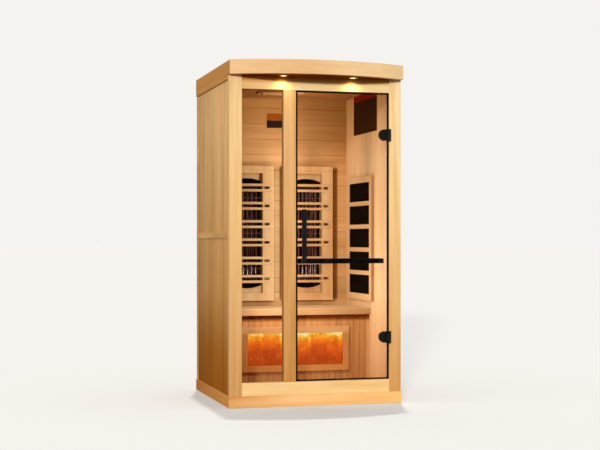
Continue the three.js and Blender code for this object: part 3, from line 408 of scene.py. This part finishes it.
def coated(name, colour, roughness, metallic=0.0, shine=0.5, grit=900.0, depth=0.00006, spread=0.08):
    """A plain coat, metal or plastic, with a fine grit."""
    finish = Finish(name)
    point, numbers = finish.place()
    fine = finish.cloud(point, grit, 2.0)
    broad = finish.cloud(point, 14.0, 3.0)
    darker = tuple(0.75 * value for value in colour[:3]) + (1.0,)
    return finish.surface(
        Base_Color=finish.ramp(broad, [(0.3, darker), (0.7, colour)]),
        Roughness=finish.spread(broad, roughness - spread, roughness + spread),
        Metallic=metallic,
        Specular_IOR_Level=shine,
        Normal=finish.bump(fine, depth),
    )


black_metal = coated("black_metal", linear(11, 10, 9), 0.34, shine=0.12)
bar_metal = coated("bar_metal", linear(8, 6, 5), 0.40, shine=0.04)
black_rubber = coated("black_rubber", linear(24, 7, 2), 0.80, shine=0.03)
black_plastic = coated("black_plastic", linear(26, 26, 27), 0.50)
black_sheet = coated("black_sheet", linear(10, 4, 2), 0.80, shine=0.03)
button_plastic = coated("button_plastic", linear(58, 60, 63), 0.45)
lamp_metal = coated("lamp_metal", linear(178, 136, 84), 0.36, 1.0)
grey_metal = coated("grey_metal", linear(150, 153, 156), 0.50, 0.8)
pin_metal = coated("pin_metal", linear(206, 196, 170), 0.28, 1.0)
screw_metal = coated("screw_metal", linear(120, 84, 50), 0.40, 0.7)
display_glass = coated("display_glass", linear(8, 12, 16), 0.16, shine=0.6, spread=0.04)
wire_metal = coated("wire_metal", linear(150, 92, 74), 0.34, 0.7)


def heater_rod():
    """A dark red emitter tube that is black at its two holders."""
    finish = Finish("heater_rod")
    point, numbers = finish.place()
    mottle = finish.cloud(finish.stretch(point, (300.0, 300.0, 12.0)), 1.0, 3.0)
    tube = finish.ramp(mottle, [(0.3, linear(38, 5, 3)), (0.7, linear(84, 15, 9))])
    held = beyond(2, ROD_MIDDLE, ROD_BARE / 2)(finish, numbers)
    return finish.surface(
        Base_Color=finish.blend(held, tube, linear(5, 2, 2)),
        Roughness=finish.sum("MULTIPLY_ADD", held, 0.85, finish.spread(mottle, 0.06, 0.14)),
        Specular_IOR_Level=0.5,
    )


def woven_carbon():
    finish = Finish("woven_carbon")
    point, numbers = finish.place()
    weave = finish.node("TexChecker", {"Vector": point, "Scale": 260.0}).outputs["Fac"]
    mottle = finish.cloud(point, 30.0, 3.0)
    shine = finish.sum("MULTIPLY_ADD", weave, 0.12, finish.spread(mottle, 0.6, 0.75))
    return finish.surface(
        Base_Color=finish.ramp(mottle, [(0.3, linear(7, 2, 1)), (0.7, linear(13, 5, 2))]),
        Roughness=shine,
        Specular_IOR_Level=0.02,
        Normal=finish.bump(weave, 0.0001),
    )


def clear_glass():
    """Thin clear glass that dims the light which falls in through it."""
    finish = Finish("clear_glass")
    point, numbers = finish.place()
    smear = finish.cloud(point, 3.0, 2.0)
    glass = finish.node("BsdfPrincipled", {
        "Base Color": (0.97, 0.99, 0.98, 1.0),
        "Roughness": finish.spread(smear, 0.0, 0.02),
        "IOR": 1.06,
        "Transmission Weight": 1.0,
    })
    open_air = finish.node("BsdfTransparent", {"Color": (0.58, 0.58, 0.58, 1.0)})
    ray = finish.node("LightPath").outputs
    dimmed = finish.sum("MAXIMUM", ray["Is Shadow Ray"], ray["Is Diffuse Ray"])
    both = finish.node("MixShader", {0: dimmed, 1: glass.outputs[0], 2: open_air.outputs[0]})
    finish.tree.links.new(both.outputs[0], finish.output.inputs[0])
    return finish.material


def lamp_lens():
    finish = Finish("lamp_lens")
    point, numbers = finish.place()
    prisms = finish.node("TexVoronoi", {"Vector": point, "Scale": 220.0}).outputs["Distance"]
    across = finish.sum("SUBTRACT", finish.sum("ABSOLUTE", numbers[0]), LENS_ACROSS)
    along = finish.sum("SUBTRACT", numbers[1], LENS_ALONG)
    away = finish.sum("SQRT", finish.sum("ADD", finish.sum("MULTIPLY", across, across), finish.sum("MULTIPLY", along, along)))
    return finish.surface(
        Base_Color=linear(255, 238, 190),
        Roughness=0.3,
        Emission_Color=finish.ramp(prisms, [(0.0, linear(255, 242, 200)), (1.0, linear(255, 206, 110))]),
        Emission_Strength=finish.spread(away, 5.0, 0.6, 0.006, 0.019),
    )


LENS_ACROSS, LENS_ALONG = 0.200, FRONT - 0.038


def lit_display_bar():
    finish = Finish("lit_bar")
    point, numbers = finish.place()
    glow = finish.cloud(point, 260.0, 2.0)
    return finish.surface(
        Base_Color=linear(30, 60, 40),
        Roughness=0.4,
        Emission_Color=finish.ramp(glow, [(0.3, linear(90, 200, 150)), (0.7, linear(150, 240, 190))]),
        Emission_Strength=0.9,
    )


ROD_MIDDLE = 0.960
ROD_BARE = 0.508
SALT_LOW, SALT_HIGH = 0.183, 0.372
SALT_BLOCKS = 6
SALT_WIDTH = 0.580


def lit_salt():
    """Salt blocks lit from behind by a lamp along their top edge."""
    finish = Finish("lit_salt")
    point, numbers = finish.place()
    block_width = SALT_WIDTH / SALT_BLOCKS
    number = finish.sum("FLOOR", finish.sum("DIVIDE", finish.sum("ADD", numbers[0], SALT_WIDTH / 2), block_width))
    block = finish.node("TexWhiteNoise", {"W": number}, noise_dimensions="1D")
    cloud = finish.cloud(point, 21.0, 7.0, 0.68, 0.25)
    height = finish.spread(numbers[2], 0.0, 1.0, SALT_LOW, SALT_HIGH)
    level = finish.sum("ADD", height, finish.spread(cloud, -0.10, 0.10, 0.3, 0.7))
    level = finish.sum("ADD", level, finish.spread(block.outputs["Value"], -0.06, 0.08))
    level = finish.sum("ADD", level, finish.spread(numbers[0], -0.09, 0.0, -SALT_WIDTH / 2, 0.0))
    glow = finish.ramp(level, [
        (0.0, linear(172, 64, 6)), (0.35, linear(192, 72, 8)), (0.60, linear(222, 94, 13)),
        (0.77, linear(246, 134, 20)), (0.87, linear(255, 180, 44)), (0.94, linear(255, 216, 94)), (1.0, linear(255, 240, 156)),
    ])
    bent = finish.node("TexNoise", {"Vector": point, "Scale": 34.0, "Detail": 3.0}).outputs["Color"]
    bent = finish.node("VectorMath", {0: bent, 1: (0.03, 0.03, 0.03), 2: point}, operation="MULTIPLY_ADD").outputs[0]
    veins = finish.node("TexVoronoi", {"Vector": bent, "Scale": 26.0}, feature="DISTANCE_TO_EDGE").outputs["Distance"]
    thin = finish.spread(veins, 0.5, 0.0, 0.0, 0.016)
    scratched = finish.sum("MULTIPLY", thin, finish.spread(cloud, 0.0, 1.0, 0.50, 0.62))
    glow = finish.blend(scratched, glow, linear(250, 168, 96))
    flecks = finish.cloud(finish.stretch(point, (150.0, 150.0, 38.0)), 1.0, 3.0, 0.6)
    glow = finish.blend(finish.spread(flecks, 0.0, 0.55, 0.60, 0.72), glow, linear(250, 150, 88))
    chips = finish.cloud(point, 90.0, 3.0, 0.6)
    chipped = finish.sum("MULTIPLY", finish.sum("GREATER_THAN", chips, 0.60), finish.spread(height, 0.0, 0.8, 0.84, 0.97))
    glow = finish.blend(chipped, glow, linear(120, 44, 6))
    glow = finish.blend(1.0, glow, finish.spread(cloud, 0.80, 1.18, 0.32, 0.68), "MULTIPLY")
    return finish.surface(
        Base_Color=linear(84, 22, 2),
        Roughness=0.4,
        Specular_IOR_Level=0.1,
        Normal=finish.bump(cloud, 0.003),
        Emission_Color=glow,
        Emission_Strength=0.85,
    )


def two_tone_plate(name, split, upper, lower):
    """A printed plate, one colour above a height and another below it, with a fine satin grain."""
    finish = Finish(name)
    point, numbers = finish.place()
    grain = finish.cloud(point, 240.0, 3.0)
    high = finish.sum("GREATER_THAN", numbers[2], split)
    colour = finish.blend(high, lower, upper)
    worn = finish.spread(finish.cloud(point, 18.0, 4.0), 0.82, 1.12, 0.3, 0.7)
    return finish.surface(
        Base_Color=finish.blend(1.0, colour, worn, "MULTIPLY"),
        Roughness=finish.spread(grain, 0.42, 0.58),
        Specular_IOR_Level=0.05,
        Normal=finish.bump(grain, 0.00005),
    )


carbon = woven_carbon()
rods = heater_rod()
glass = clear_glass()
lens = lamp_lens()
salt = lit_salt()
lit_bar = lit_display_bar()

# CAD nodes: a finish for each, and softened edges


def soft_shading():
    """A modifier's node group that smooths round faces and keeps hard edges."""
    group = bpy.data.node_groups.new("soft_shading", "GeometryNodeTree")
    group.interface.new_socket("Geometry", in_out="INPUT", socket_type="NodeSocketGeometry")
    group.interface.new_socket("Geometry", in_out="OUTPUT", socket_type="NodeSocketGeometry")
    start = group.nodes.new("NodeGroupInput")
    end = group.nodes.new("NodeGroupOutput")
    smooth = group.nodes.new("GeometryNodeSetShadeSmooth")
    sharp = group.nodes.new("GeometryNodeSetShadeSmooth")
    sharp.domain = "EDGE"
    sharp.inputs["Shade Smooth"].default_value = False
    angle = group.nodes.new("GeometryNodeInputMeshEdgeAngle")
    compare = group.nodes.new("FunctionNodeCompare")
    compare.operation = "GREATER_THAN"
    compare.inputs[1].default_value = math.radians(40)
    group.links.new(angle.outputs["Unsigned Angle"], compare.inputs[0])
    group.links.new(start.outputs[0], smooth.inputs["Geometry"])
    group.links.new(smooth.outputs[0], sharp.inputs["Geometry"])
    group.links.new(compare.outputs[0], sharp.inputs["Selection"])
    group.links.new(sharp.outputs[0], end.inputs[0])
    return group


SOFT_SHADING = soft_shading()


def dress(node, material, edge=1.2, segments=2):
    """Gives a CAD node its finish and softens its edges by edge millimetres."""
    piece = frame["nodes"][node]
    piece.data.materials.clear()
    piece.data.materials.append(material)
    weld = piece.modifiers.new("weld", "WELD")
    weld.merge_threshold = 0.00001
    if edge:
        bevel = piece.modifiers.new("edge", "BEVEL")
        bevel.width = edge * MM
        bevel.segments = segments
        bevel.limit_method = "ANGLE"
        bevel.angle_limit = math.radians(32)
        bevel.harden_normals = False
        bevel.miter_outer = "MITER_ARC"
    shading = piece.modifiers.new("shading", "NODES")
    shading.node_group = SOFT_SHADING
    even = piece.modifiers.new("even", "WEIGHTED_NORMAL")
    even.keep_sharp = True


for node in ("left_post", "right_post", "mullion"):
    dress(node, mullion_wood if node == "mullion" else post_wood, 1.5)
dress("top_rail", top_rail_wood, 1.5)
dress("bottom_rail", rail_wood, 1.5)
for side in ("left", "right"):
    dress(f"{side}_wall", wall_boards, 0.8)
    dress(f"{side}_belt_rail", belt_wood, 1.0)
    dress(f"{side}_roof_rail", side_rail_wood, 1.5)
    dress(f"{side}_downlight", lamp_metal, 0.6)
    dress(f"{side}_downlight_lens", lens, 0.4)
    dress(f"{side}_heater_guard", heater_wood, 0.8)
    dress(f"{side}_heater_reflector", black_sheet, 0)
    dress(f"{side}_heater_rods", rods, 0.5)
    dress(f"{side}_panel_frame", panel_wood, 1.0)
    dress(f"{side}_carbon_panel", carbon, 0.6)
dress("fascia", fascia_wood, 1.5)
dress("roof_cover", roof_wood, 1.5)
dress("back_roof_rail", back_rail_wood, 1.5)
dress("plinth", plinth_wood, 1.5)
dress("soffit", soffit_wood, 0.8)
dress("back_wall_lining", back_lining, 0.8)
dress("back_wall_cladding", back_boards, 0.8)
dress("ceiling_panel", ceiling_boards, 0.8)
dress("floor_panel", ceiling_boards, 0.8)
dress("window_pane", glass, 0)
dress("door_glass", glass, 0)
dress("door_seal", black_rubber, 0.8)
dress("door_handle", black_metal, 1.5, 3)
dress("towel_bar", bar_metal, 1.5, 3)
for place in ("upper", "lower"):
    dress(f"{place}_hinge_clamp", black_metal, 0.8)
    dress(f"{place}_hinge_back_plate", black_metal, 0.8)
    dress(f"{place}_hinge_leaf", black_metal, 0.6)
dress("vent_cover", vent_wood, 0.8)
dress("vent_track", vent_wood, 0.8)
dress("power_supply", grey_metal, 1.0)
dress("mains_inlet", black_plastic, 0.8)
dress("bench_seat", seat_wood, 1.5)
dress("seat_cleat", seat_wood, 1.5)
dress("bench_front", bench_boards, 0.6)
dress("salt_frame", salt_frame_wood, 1.2)
dress("salt_tiles", salt, 1.0)
dress("salt_light_box", black_plastic, 1.0)
dress("control_panel", black_plastic, 0.8)
for name in ("power", "light", "lower", "raise"):
    dress(f"{name}_button", button_plastic, 0.8)

# Pieces that the CAD leaves out: plates, wires, screws, caps and battens


def outward(direction):
    """A turn that takes +Z to a direction."""
    return Vector(direction).to_track_quat("Z", "Y").to_matrix().to_4x4()


def add_block(shape, low, high, edge, segments=2, corner=None):
    """Adds a block between two corners to shape. corner is (axis, radius): its edges along axis are rounded."""
    low, high = Vector(low), Vector(high)
    size = high - low
    at = Matrix.Translation((low + high) / 2) @ Matrix.Diagonal((*size, 1.0))
    made = bmesh.ops.create_cube(shape, size=1.0, matrix=at)["verts"]
    edges = {line for point in made for line in point.link_edges}
    if corner:
        axis, radius = corner
        upright = [line for line in edges if abs((line.verts[0].co - line.verts[1].co)[axis]) > size[axis] / 2]
        rounded = bmesh.ops.bevel(shape, geom=upright, offset=radius, segments=6, affect="EDGES", profile=0.5, material=-1)
        sides = {face for face in rounded["faces"]}
        sides |= {face for point in rounded["verts"] for face in point.link_faces}
        caps = [face for face in sides if abs(face.normal[axis]) > 0.9]
        edges = {line for face in caps for line in face.edges}
    bmesh.ops.bevel(shape, geom=list(edges), offset=edge, segments=segments, affect="EDGES", profile=0.5, material=-1)


def add_rod(shape, start, end, radius, segments=8, taper=1.0):
    """Adds a round rod from start to end to shape."""
    start, end = Vector(start), Vector(end)
    at = Matrix.Translation((start + end) / 2) @ outward(end - start)
    return bmesh.ops.create_cone(shape, cap_ends=True, segments=segments, radius1=radius, radius2=taper * radius,
                                 depth=(end - start).length, matrix=at)["verts"]


def add_screw(shape, at, out, radius, height, socket=0.5):
    """Adds a screw's head, with a socket in it, to shape. It stands on at and faces out."""
    at, out = Vector(at), Vector(out)
    points = add_rod(shape, at, at + height * out, radius, 16, 0.84)
    faces = {face for point in points for face in point.link_faces}
    top = max(faces, key=lambda face: (face.calc_center_median() - at).dot(out))
    bmesh.ops.inset_individual(shape, faces=[top], thickness=(0.84 - socket) * radius, depth=0.0)
    bmesh.ops.inset_individual(shape, faces=[top], thickness=0.08 * radius, depth=-0.6 * height)


def finished(name, shape, material, body):
    """A piece from shape, which rides on a body."""
    bmesh.ops.recalc_face_normals(shape, faces=shape.faces)
    mesh = bpy.data.meshes.new(name)
    shape.to_mesh(mesh)
    shape.free()
    mesh.materials.append(material)
    made = bpy.data.objects.new(name, mesh)
    scene.collection.objects.link(made)
    made.modifiers.new("shading", "NODES").node_group = SOFT_SHADING
    made.modifiers.new("even", "WEIGHTED_NORMAL").keep_sharp = True
    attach(made, body)
    return made


def salt_blocks():
    """Six rough blocks of salt in one row, where the row of tiles is."""
    low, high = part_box("salt_tiles")
    width = (high[0] - low[0]) / SALT_BLOCKS
    shape = bmesh.new()
    for number in range(SALT_BLOCKS):
        left = low[0] + number * width
        middle = Vector((left + width / 2, (low[1] + high[1]) / 2, (low[2] + high[2]) / 2))
        size = Vector((width - SALT_JOINT, high[1] - low[1], high[2] - low[2]))
        made = bmesh.ops.create_cube(shape, size=1.0, matrix=Matrix.Translation(middle) @ Matrix.Diagonal((*size, 1.0)))
        edges = list({line for point in made["verts"] for line in point.link_edges})
        bmesh.ops.bevel(shape, geom=edges, offset=0.004, segments=3, affect="EDGES", profile=0.5, material=-1)
    bmesh.ops.subdivide_edges(shape, edges=[line for line in shape.edges if line.calc_length() > 0.02],
                              cuts=24, use_grid_fill=True)
    for point in shape.verts:
        rough = 0.0016 * noise.fractal(60 * point.co, 1.0, 2.0, 4) + 0.0012 * noise.noise(22 * point.co)
        face = 1 if point.co.y < (low[1] + high[1]) / 2 else 0
        point.co.y += face * (0.0024 + max(-0.0024, min(rough, 0.004)))
    made = finished("salt_blocks", shape, salt, "cabin")
    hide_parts("salt_tiles")


def bench_battens():
    """An upright batten closes each end of the bench front."""
    front_low, front_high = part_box("bench_front")
    shape = bmesh.new()
    for side in (-1, 1):
        reach = sorted((side * front_high[0], side * (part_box("right_wall")[0][0])))
        add_block(shape, (reach[0], front_low[1] - 0.004, front_low[2]),
                  (reach[1], front_high[1], front_high[2]), 0.0012)
    finished("bench_battens", shape, batten_wood, "cabin")


def heater_wires():
    """A wire guard stands in each heater's opening, in front of its rods."""
    for side in ("left", "right"):
        low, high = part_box(f"{side}_heater_rods")
        guard_low, guard_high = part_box(f"{side}_heater_guard")
        middle = (guard_low[0] + guard_high[0]) / 2
        reach = WIRE_REACH
        deep = low[1] - 0.006
        shape = bmesh.new()
        for number in range(WIRES_UP):
            at = middle - reach + (number + 0.5) * 2 * reach / WIRES_UP
            add_rod(shape, (at, deep, low[2] - 0.015), (at, deep, high[2] + 0.015), WIRE_RADIUS)
        rows = WIRES_ACROSS
        for number in range(rows):
            height = low[2] + number * (high[2] - low[2]) / (rows - 1)
            add_rod(shape, (middle - reach, deep - 2 * WIRE_RADIUS, height),
                    (middle + reach, deep - 2 * WIRE_RADIUS, height), WIRE_RADIUS)
        finished(f"{side}_heater_wires", shape, wire_metal, "cabin")


def heater_screws():
    """Screws hold the slats to each guard's stiles."""
    for side in ("left", "right"):
        low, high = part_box(f"{side}_heater_guard")
        middle = (low[0] + high[0]) / 2
        shape = bmesh.new()
        for pair in range(SLAT_PAIRS):
            centre = (low[2] + high[2]) / 2 + (pair - (SLAT_PAIRS - 1) / 2) * SLAT_PITCH
            for up in (-1, 1):
                for across in (-1, 1):
                    at = (middle + across * SLAT_SCREW, low[1], centre + up * SLAT_SPACING / 2)
                    add_screw(shape, at, (0, -1, 0), 0.0024, 0.0006)
        finished(f"{side}_heater_screws", shape, screw_metal, "cabin")


def door_caps():
    """Caps over the far ends of the towel bar's and the handle's bolts, and screws in the hinges' back plates."""
    glass_low, glass_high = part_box("door_glass")
    bar_low, bar_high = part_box("towel_bar")
    handle_low, handle_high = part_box("door_handle")
    shape = bmesh.new()
    bolt = bar_high[0] - 0.012
    add_block(shape, (bolt - 0.012, glass_low[1] - 0.003, bar_low[2] + 0.001),
              (bolt + 0.012, glass_low[1], bar_high[2] - 0.001), 0.001)
    upper = handle_high[2] - 0.012
    add_screw(shape, ((handle_low[0] + handle_high[0]) / 2, glass_high[1], upper), (0, 1, 0), CAP_RADIUS, 0.004)
    for place in ("upper", "lower"):
        low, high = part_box(f"{place}_hinge_back_plate")
        for up in (-HINGE_SCREW, HINGE_SCREW):
            at = ((low[0] + high[0]) / 2, high[1], (low[2] + high[2]) / 2 + up)
            add_screw(shape, at, (0, 1, 0), 0.0065, 0.002)
    finished("door_caps", shape, black_metal, "door")


def wall_plates():
    """Two blank plates: a dark one with a red band on the right wall, and a small one on the back wall."""
    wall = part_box("right_wall")[0][0]
    shape = bmesh.new()
    low, high = (wall - 0.002, FRONT + 0.300, 1.562), (wall, FRONT + 0.740, 1.801)
    add_block(shape, low, high, 0.0006, 2, (0, 0.006))
    for across in (low[1] + 0.012, high[1] - 0.012):
        for up in (low[2] + 0.012, high[2] - 0.012):
            add_screw(shape, (low[0], across, up), (-1, 0, 0), 0.004, 0.001)
    dark_plate = two_tone_plate("dark_plate", high[2] - 0.039, linear(158, 20, 0), linear(56, 23, 4))
    finished("side_wall_plate", shape, dark_plate, "cabin")
    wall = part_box("back_wall_lining")[0][1]
    shape = bmesh.new()
    low, high = (-0.062, wall - 0.0015, 1.615), (0.088, wall, 1.705)
    add_block(shape, low, high, 0.0005, 2, (1, 0.004))
    for across in (low[0] + 0.007, high[0] - 0.007):
        add_screw(shape, (across, low[1], (low[2] + high[2]) / 2), (0, -1, 0), 0.003, 0.0008)
    amber_plate = two_tone_plate("amber_plate", 1.661, linear(168, 84, 4), linear(44, 18, 6))
    finished("back_wall_plate", shape, amber_plate, "cabin")


def add_ring(shape, centre, out, inner, outer, height):
    """Adds a low ring to shape. It stands round centre and faces out."""
    turn = Matrix.Translation(centre) @ outward(out)
    outline = ((inner, 0.0), (inner, height), (outer - height / 2, height), (outer, height / 2), (outer, 0.0))
    points = [shape.verts.new(turn @ Vector((radius, 0.0, up))) for radius, up in outline]
    lines = [shape.edges.new(pair) for pair in zip(points, points[1:] + points[:1])]
    bmesh.ops.spin(shape, geom=points + lines, cent=centre, axis=out, angle=math.tau, steps=32, use_merge=True)


def control_trim():
    """A ring round each button of the control panel, a pane over its display and a row of lit bars behind the pane."""
    low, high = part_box("control_panel")
    face = high[0]
    shape = bmesh.new()
    for name in ("power", "light", "lower", "raise"):
        button_low, button_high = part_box(f"{name}_button")
        centre = (face, (button_low[1] + button_high[1]) / 2, (button_low[2] + button_high[2]) / 2)
        add_ring(shape, centre, (1, 0, 0), BUTTON_RING, BUTTON_RING + 0.0018, 0.0008)
    finished("button_rings", shape, grey_metal, "cabin")

    middle = (low[1] + high[1]) / 2
    top = high[2] - DISPLAY_DROP
    shape = bmesh.new()
    add_block(shape, (face - 0.0014, middle - DISPLAY_REACH, top - DISPLAY_HEIGHT),
              (face - 0.0004, middle + DISPLAY_REACH, top), 0.0003, 2, (0, 0.002))
    finished("display_pane", shape, display_glass, "cabin")
    shape = bmesh.new()
    foot = top - DISPLAY_HEIGHT + 0.006
    for number in range(LEVEL_BARS):
        across = middle + (number - (LEVEL_BARS - 1) / 2) * LEVEL_PITCH
        add_block(shape, (face - 0.0006, across - 0.002, foot), (face - 0.0002, across + 0.002, foot + 0.003 + 0.0016 * number), 0.0001)
    finished("level_bars", shape, lit_bar, "cabin")


def inlet_pins():
    """Three flat pins stand in the mains inlet."""
    low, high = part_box("mains_inlet")
    middle = ((low[0] + high[0]) / 2, (low[2] + high[2]) / 2)
    shape = bmesh.new()
    for across, up in ((-0.007, -0.002), (0.007, -0.002), (0.0, 0.003)):
        add_block(shape, (middle[0] + across - 0.001, high[1] - 0.016, middle[1] + up - 0.002),
                  (middle[0] + across + 0.001, high[1] - 0.003, middle[1] + up + 0.002), 0.0004)
    finished("inlet_pins", shape, pin_metal, "cabin")


def back_screws():
    """Screws hold the back wall's boards, at their top, middle and bottom."""
    low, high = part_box("back_wall_cladding")
    shape = bmesh.new()
    boards = 10
    for number in range(boards):
        across = low[0] + (number + 0.5) * (high[0] - low[0]) / boards
        for up in (low[2] + 0.035, (low[2] + high[2]) / 2, high[2] - 0.035):
            add_screw(shape, (across, high[1], up), (0, 1, 0), 0.004, 0.0012)
    finished("back_screws", shape, screw_metal, "cabin")


SALT_JOINT = 0.002
WIRE_REACH = 0.090
WIRE_RADIUS = 0.0009
WIRES_UP = 8
WIRES_ACROSS = 9
SLAT_PAIRS = 6
SLAT_PITCH = 0.1124
SLAT_SPACING = 0.034
SLAT_SCREW = 0.140
CAP_RADIUS = 0.0105
HINGE_SCREW = 0.015
BUTTON_RING = 0.0098
DISPLAY_DROP = 0.013
DISPLAY_HEIGHT = 0.028
DISPLAY_REACH = 0.059
LEVEL_BARS = 10
LEVEL_PITCH = 0.009

salt_blocks()
bench_battens()
heater_wires()
heater_screws()
door_caps()
wall_plates()
control_trim()
inlet_pins()
back_screws()

# Stage: a pale floor, soft light and the camera

OFF_WHITE = linear(245, 243, 239)


def pale_floor():
    """Pale where it is seen, and dim as a source of light on the cabin."""
    finish = Finish("pale_floor")
    point, numbers = finish.place()
    mottle = finish.cloud(point, 2.0, 2.0)
    pale = finish.ramp(mottle, [(0.0, (0.598, 0.588, 0.570, 1.0)), (1.0, (0.602, 0.592, 0.574, 1.0))])
    seen = finish.node("BsdfPrincipled", {
        "Base Color": pale,
        "Roughness": 1.0,
        "Specular IOR Level": 0.0,
        "Emission Color": OFF_WHITE,
        "Emission Strength": 0.22,
    })
    dim = finish.node("BsdfDiffuse", {"Color": (0.12, 0.11, 0.10, 1.0)})
    ray = finish.node("LightPath").outputs
    looked_at = finish.sum("MAXIMUM", ray["Is Camera Ray"], ray["Is Glossy Ray"])
    looked_at = finish.sum("MAXIMUM", looked_at, ray["Is Transmission Ray"])
    looked_at = finish.sum("MULTIPLY", looked_at, finish.sum("LESS_THAN", ray["Diffuse Depth"], 0.5))
    both = finish.node("MixShader", {0: looked_at, 1: dim.outputs[0], 2: seen.outputs[0]})
    finish.tree.links.new(both.outputs[0], finish.output.inputs[0])
    return finish.material


def floor():
    mesh = bpy.data.meshes.new("floor")
    shape = bmesh.new()
    bmesh.ops.create_grid(shape, x_segments=1, y_segments=1, size=150.0)
    bmesh.ops.translate(shape, verts=shape.verts, vec=(0, 0, -0.0004))
    shape.to_mesh(mesh)
    shape.free()
    mesh.materials.append(pale_floor())
    made = bpy.data.objects.new("floor", mesh)
    scene.collection.objects.link(made)


def sky():
    """Soft light all round, and the off-white ground where it is seen."""
    world = bpy.data.worlds.new("studio")
    scene.world = world
    world.use_nodes = True
    tree = world.node_tree
    tree.nodes.clear()

    def made(kind, first, second=None, operation=None):
        node = tree.nodes.new("ShaderNode" + kind)
        if operation:
            node.operation = operation
        for socket, value in zip(node.inputs, (first, second)):
            if isinstance(value, bpy.types.NodeSocket):
                tree.links.new(value, socket)
            elif value is not None:
                socket.default_value = value
        return node.outputs[0]

    ray = tree.nodes.new("ShaderNodeLightPath").outputs
    looked_at = made("Math", ray["Is Camera Ray"], ray["Is Glossy Ray"], "MAXIMUM")
    looked_at = made("Math", looked_at, ray["Is Transmission Ray"], "MAXIMUM")
    looked_at = made("Math", looked_at, made("Math", ray["Diffuse Depth"], 0.5, "LESS_THAN"), "MULTIPLY")
    both = tree.nodes.new("ShaderNodeMixShader")
    tree.links.new(looked_at, both.inputs[0])
    tree.links.new(made("Background", (1.0, 0.985, 0.96, 1.0), 0.6), both.inputs[1])
    tree.links.new(made("Background", OFF_WHITE, 1.0), both.inputs[2])
    output = tree.nodes.new("ShaderNodeOutputWorld")
    tree.links.new(both.outputs[0], output.inputs[0])


def lamp(name, kind, at, towards, energy, colour, **settings):
    light = bpy.data.lights.new(name, kind)
    light.energy = energy
    light.color = colour
    for key, value in settings.items():
        setattr(light, key, value)
    made = bpy.data.objects.new(name, light)
    made.location = at
    made.rotation_mode = "QUATERNION"
    made.rotation_quaternion = (Vector(towards) - Vector(at)).to_track_quat("-Z", "Y")
    made.visible_camera = False
    made.visible_transmission = False
    scene.collection.objects.link(made)


def camera():
    lens_data = bpy.data.cameras.new("camera")
    lens_data.lens = 77.76
    lens_data.sensor_width = 36
    lens_data.shift_y = 0.0243
    made = bpy.data.objects.new("camera", lens_data)
    made.location = (-1.998, -7.382, 0.921)
    made.rotation_euler = (math.radians(90), 0, math.radians(-15.387))
    scene.collection.objects.link(made)
    scene.camera = made


floor()
sky()
camera()


def sun(name, azimuth, elevation, energy, colour, width):
    """A far lamp. Azimuth is where it stands: 0 in front of the cabin, 90 at its left, 180 behind."""
    round_about, up = math.radians(azimuth), math.radians(elevation)
    level = math.cos(up)
    at = (-math.sin(round_about) * level, -math.cos(round_about) * level, math.sin(up))
    lamp(name, "SUN", at, (0, 0, 0), energy, colour, angle=math.radians(width))


sun("key", 23, 13.5, 2.3, (1.0, 0.98, 0.95), 5)
sun("top", 195.4, 78, 1.4, (1.0, 1.0, 1.0), 1.5)
for side in (-1, 1):
    at = (side * LENS_ACROSS, LENS_ALONG, 1.816)
    lamp("downlight_glow", "SPOT", at, (side * LENS_ACROSS, LENS_ALONG + 0.005, 1.0), 1.05, (1.0, 0.82, 0.46),
         spot_size=math.radians(150), spot_blend=0.9, shadow_soft_size=0.012)
lamp("cabin_glow", "AREA", (0.05, FRONT + 0.50, 1.34), (0.05, 0.43, 1.30), 2.0, (1.0, 0.91, 0.78),
     shape="RECTANGLE", size=0.04, size_y=0.85)
lamp("side_glow", "AREA", (0.06, FRONT + 0.09, 0.95), (0.455, FRONT + 0.36, 0.90), 2.9, (1.0, 0.93, 0.82),
     shape="RECTANGLE", size=0.1, size_y=1.4)
lamp("bench_glow", "AREA", (-0.20, FRONT + 0.13, 0.70), (0.04, FRONT + 0.45, 0.42), 2.9, (1.0, 0.95, 0.86),
     shape="RECTANGLE", size=0.07, size_y=0.07)

scene.view_settings.view_transform = "Standard"
scene.cycles.use_denoising = True
scene.cycles.max_bounces = 12
scene.cycles.diffuse_bounces = 2
scene.cycles.transparent_max_bounces = 16
scene.cycles.transmission_bounces = 12
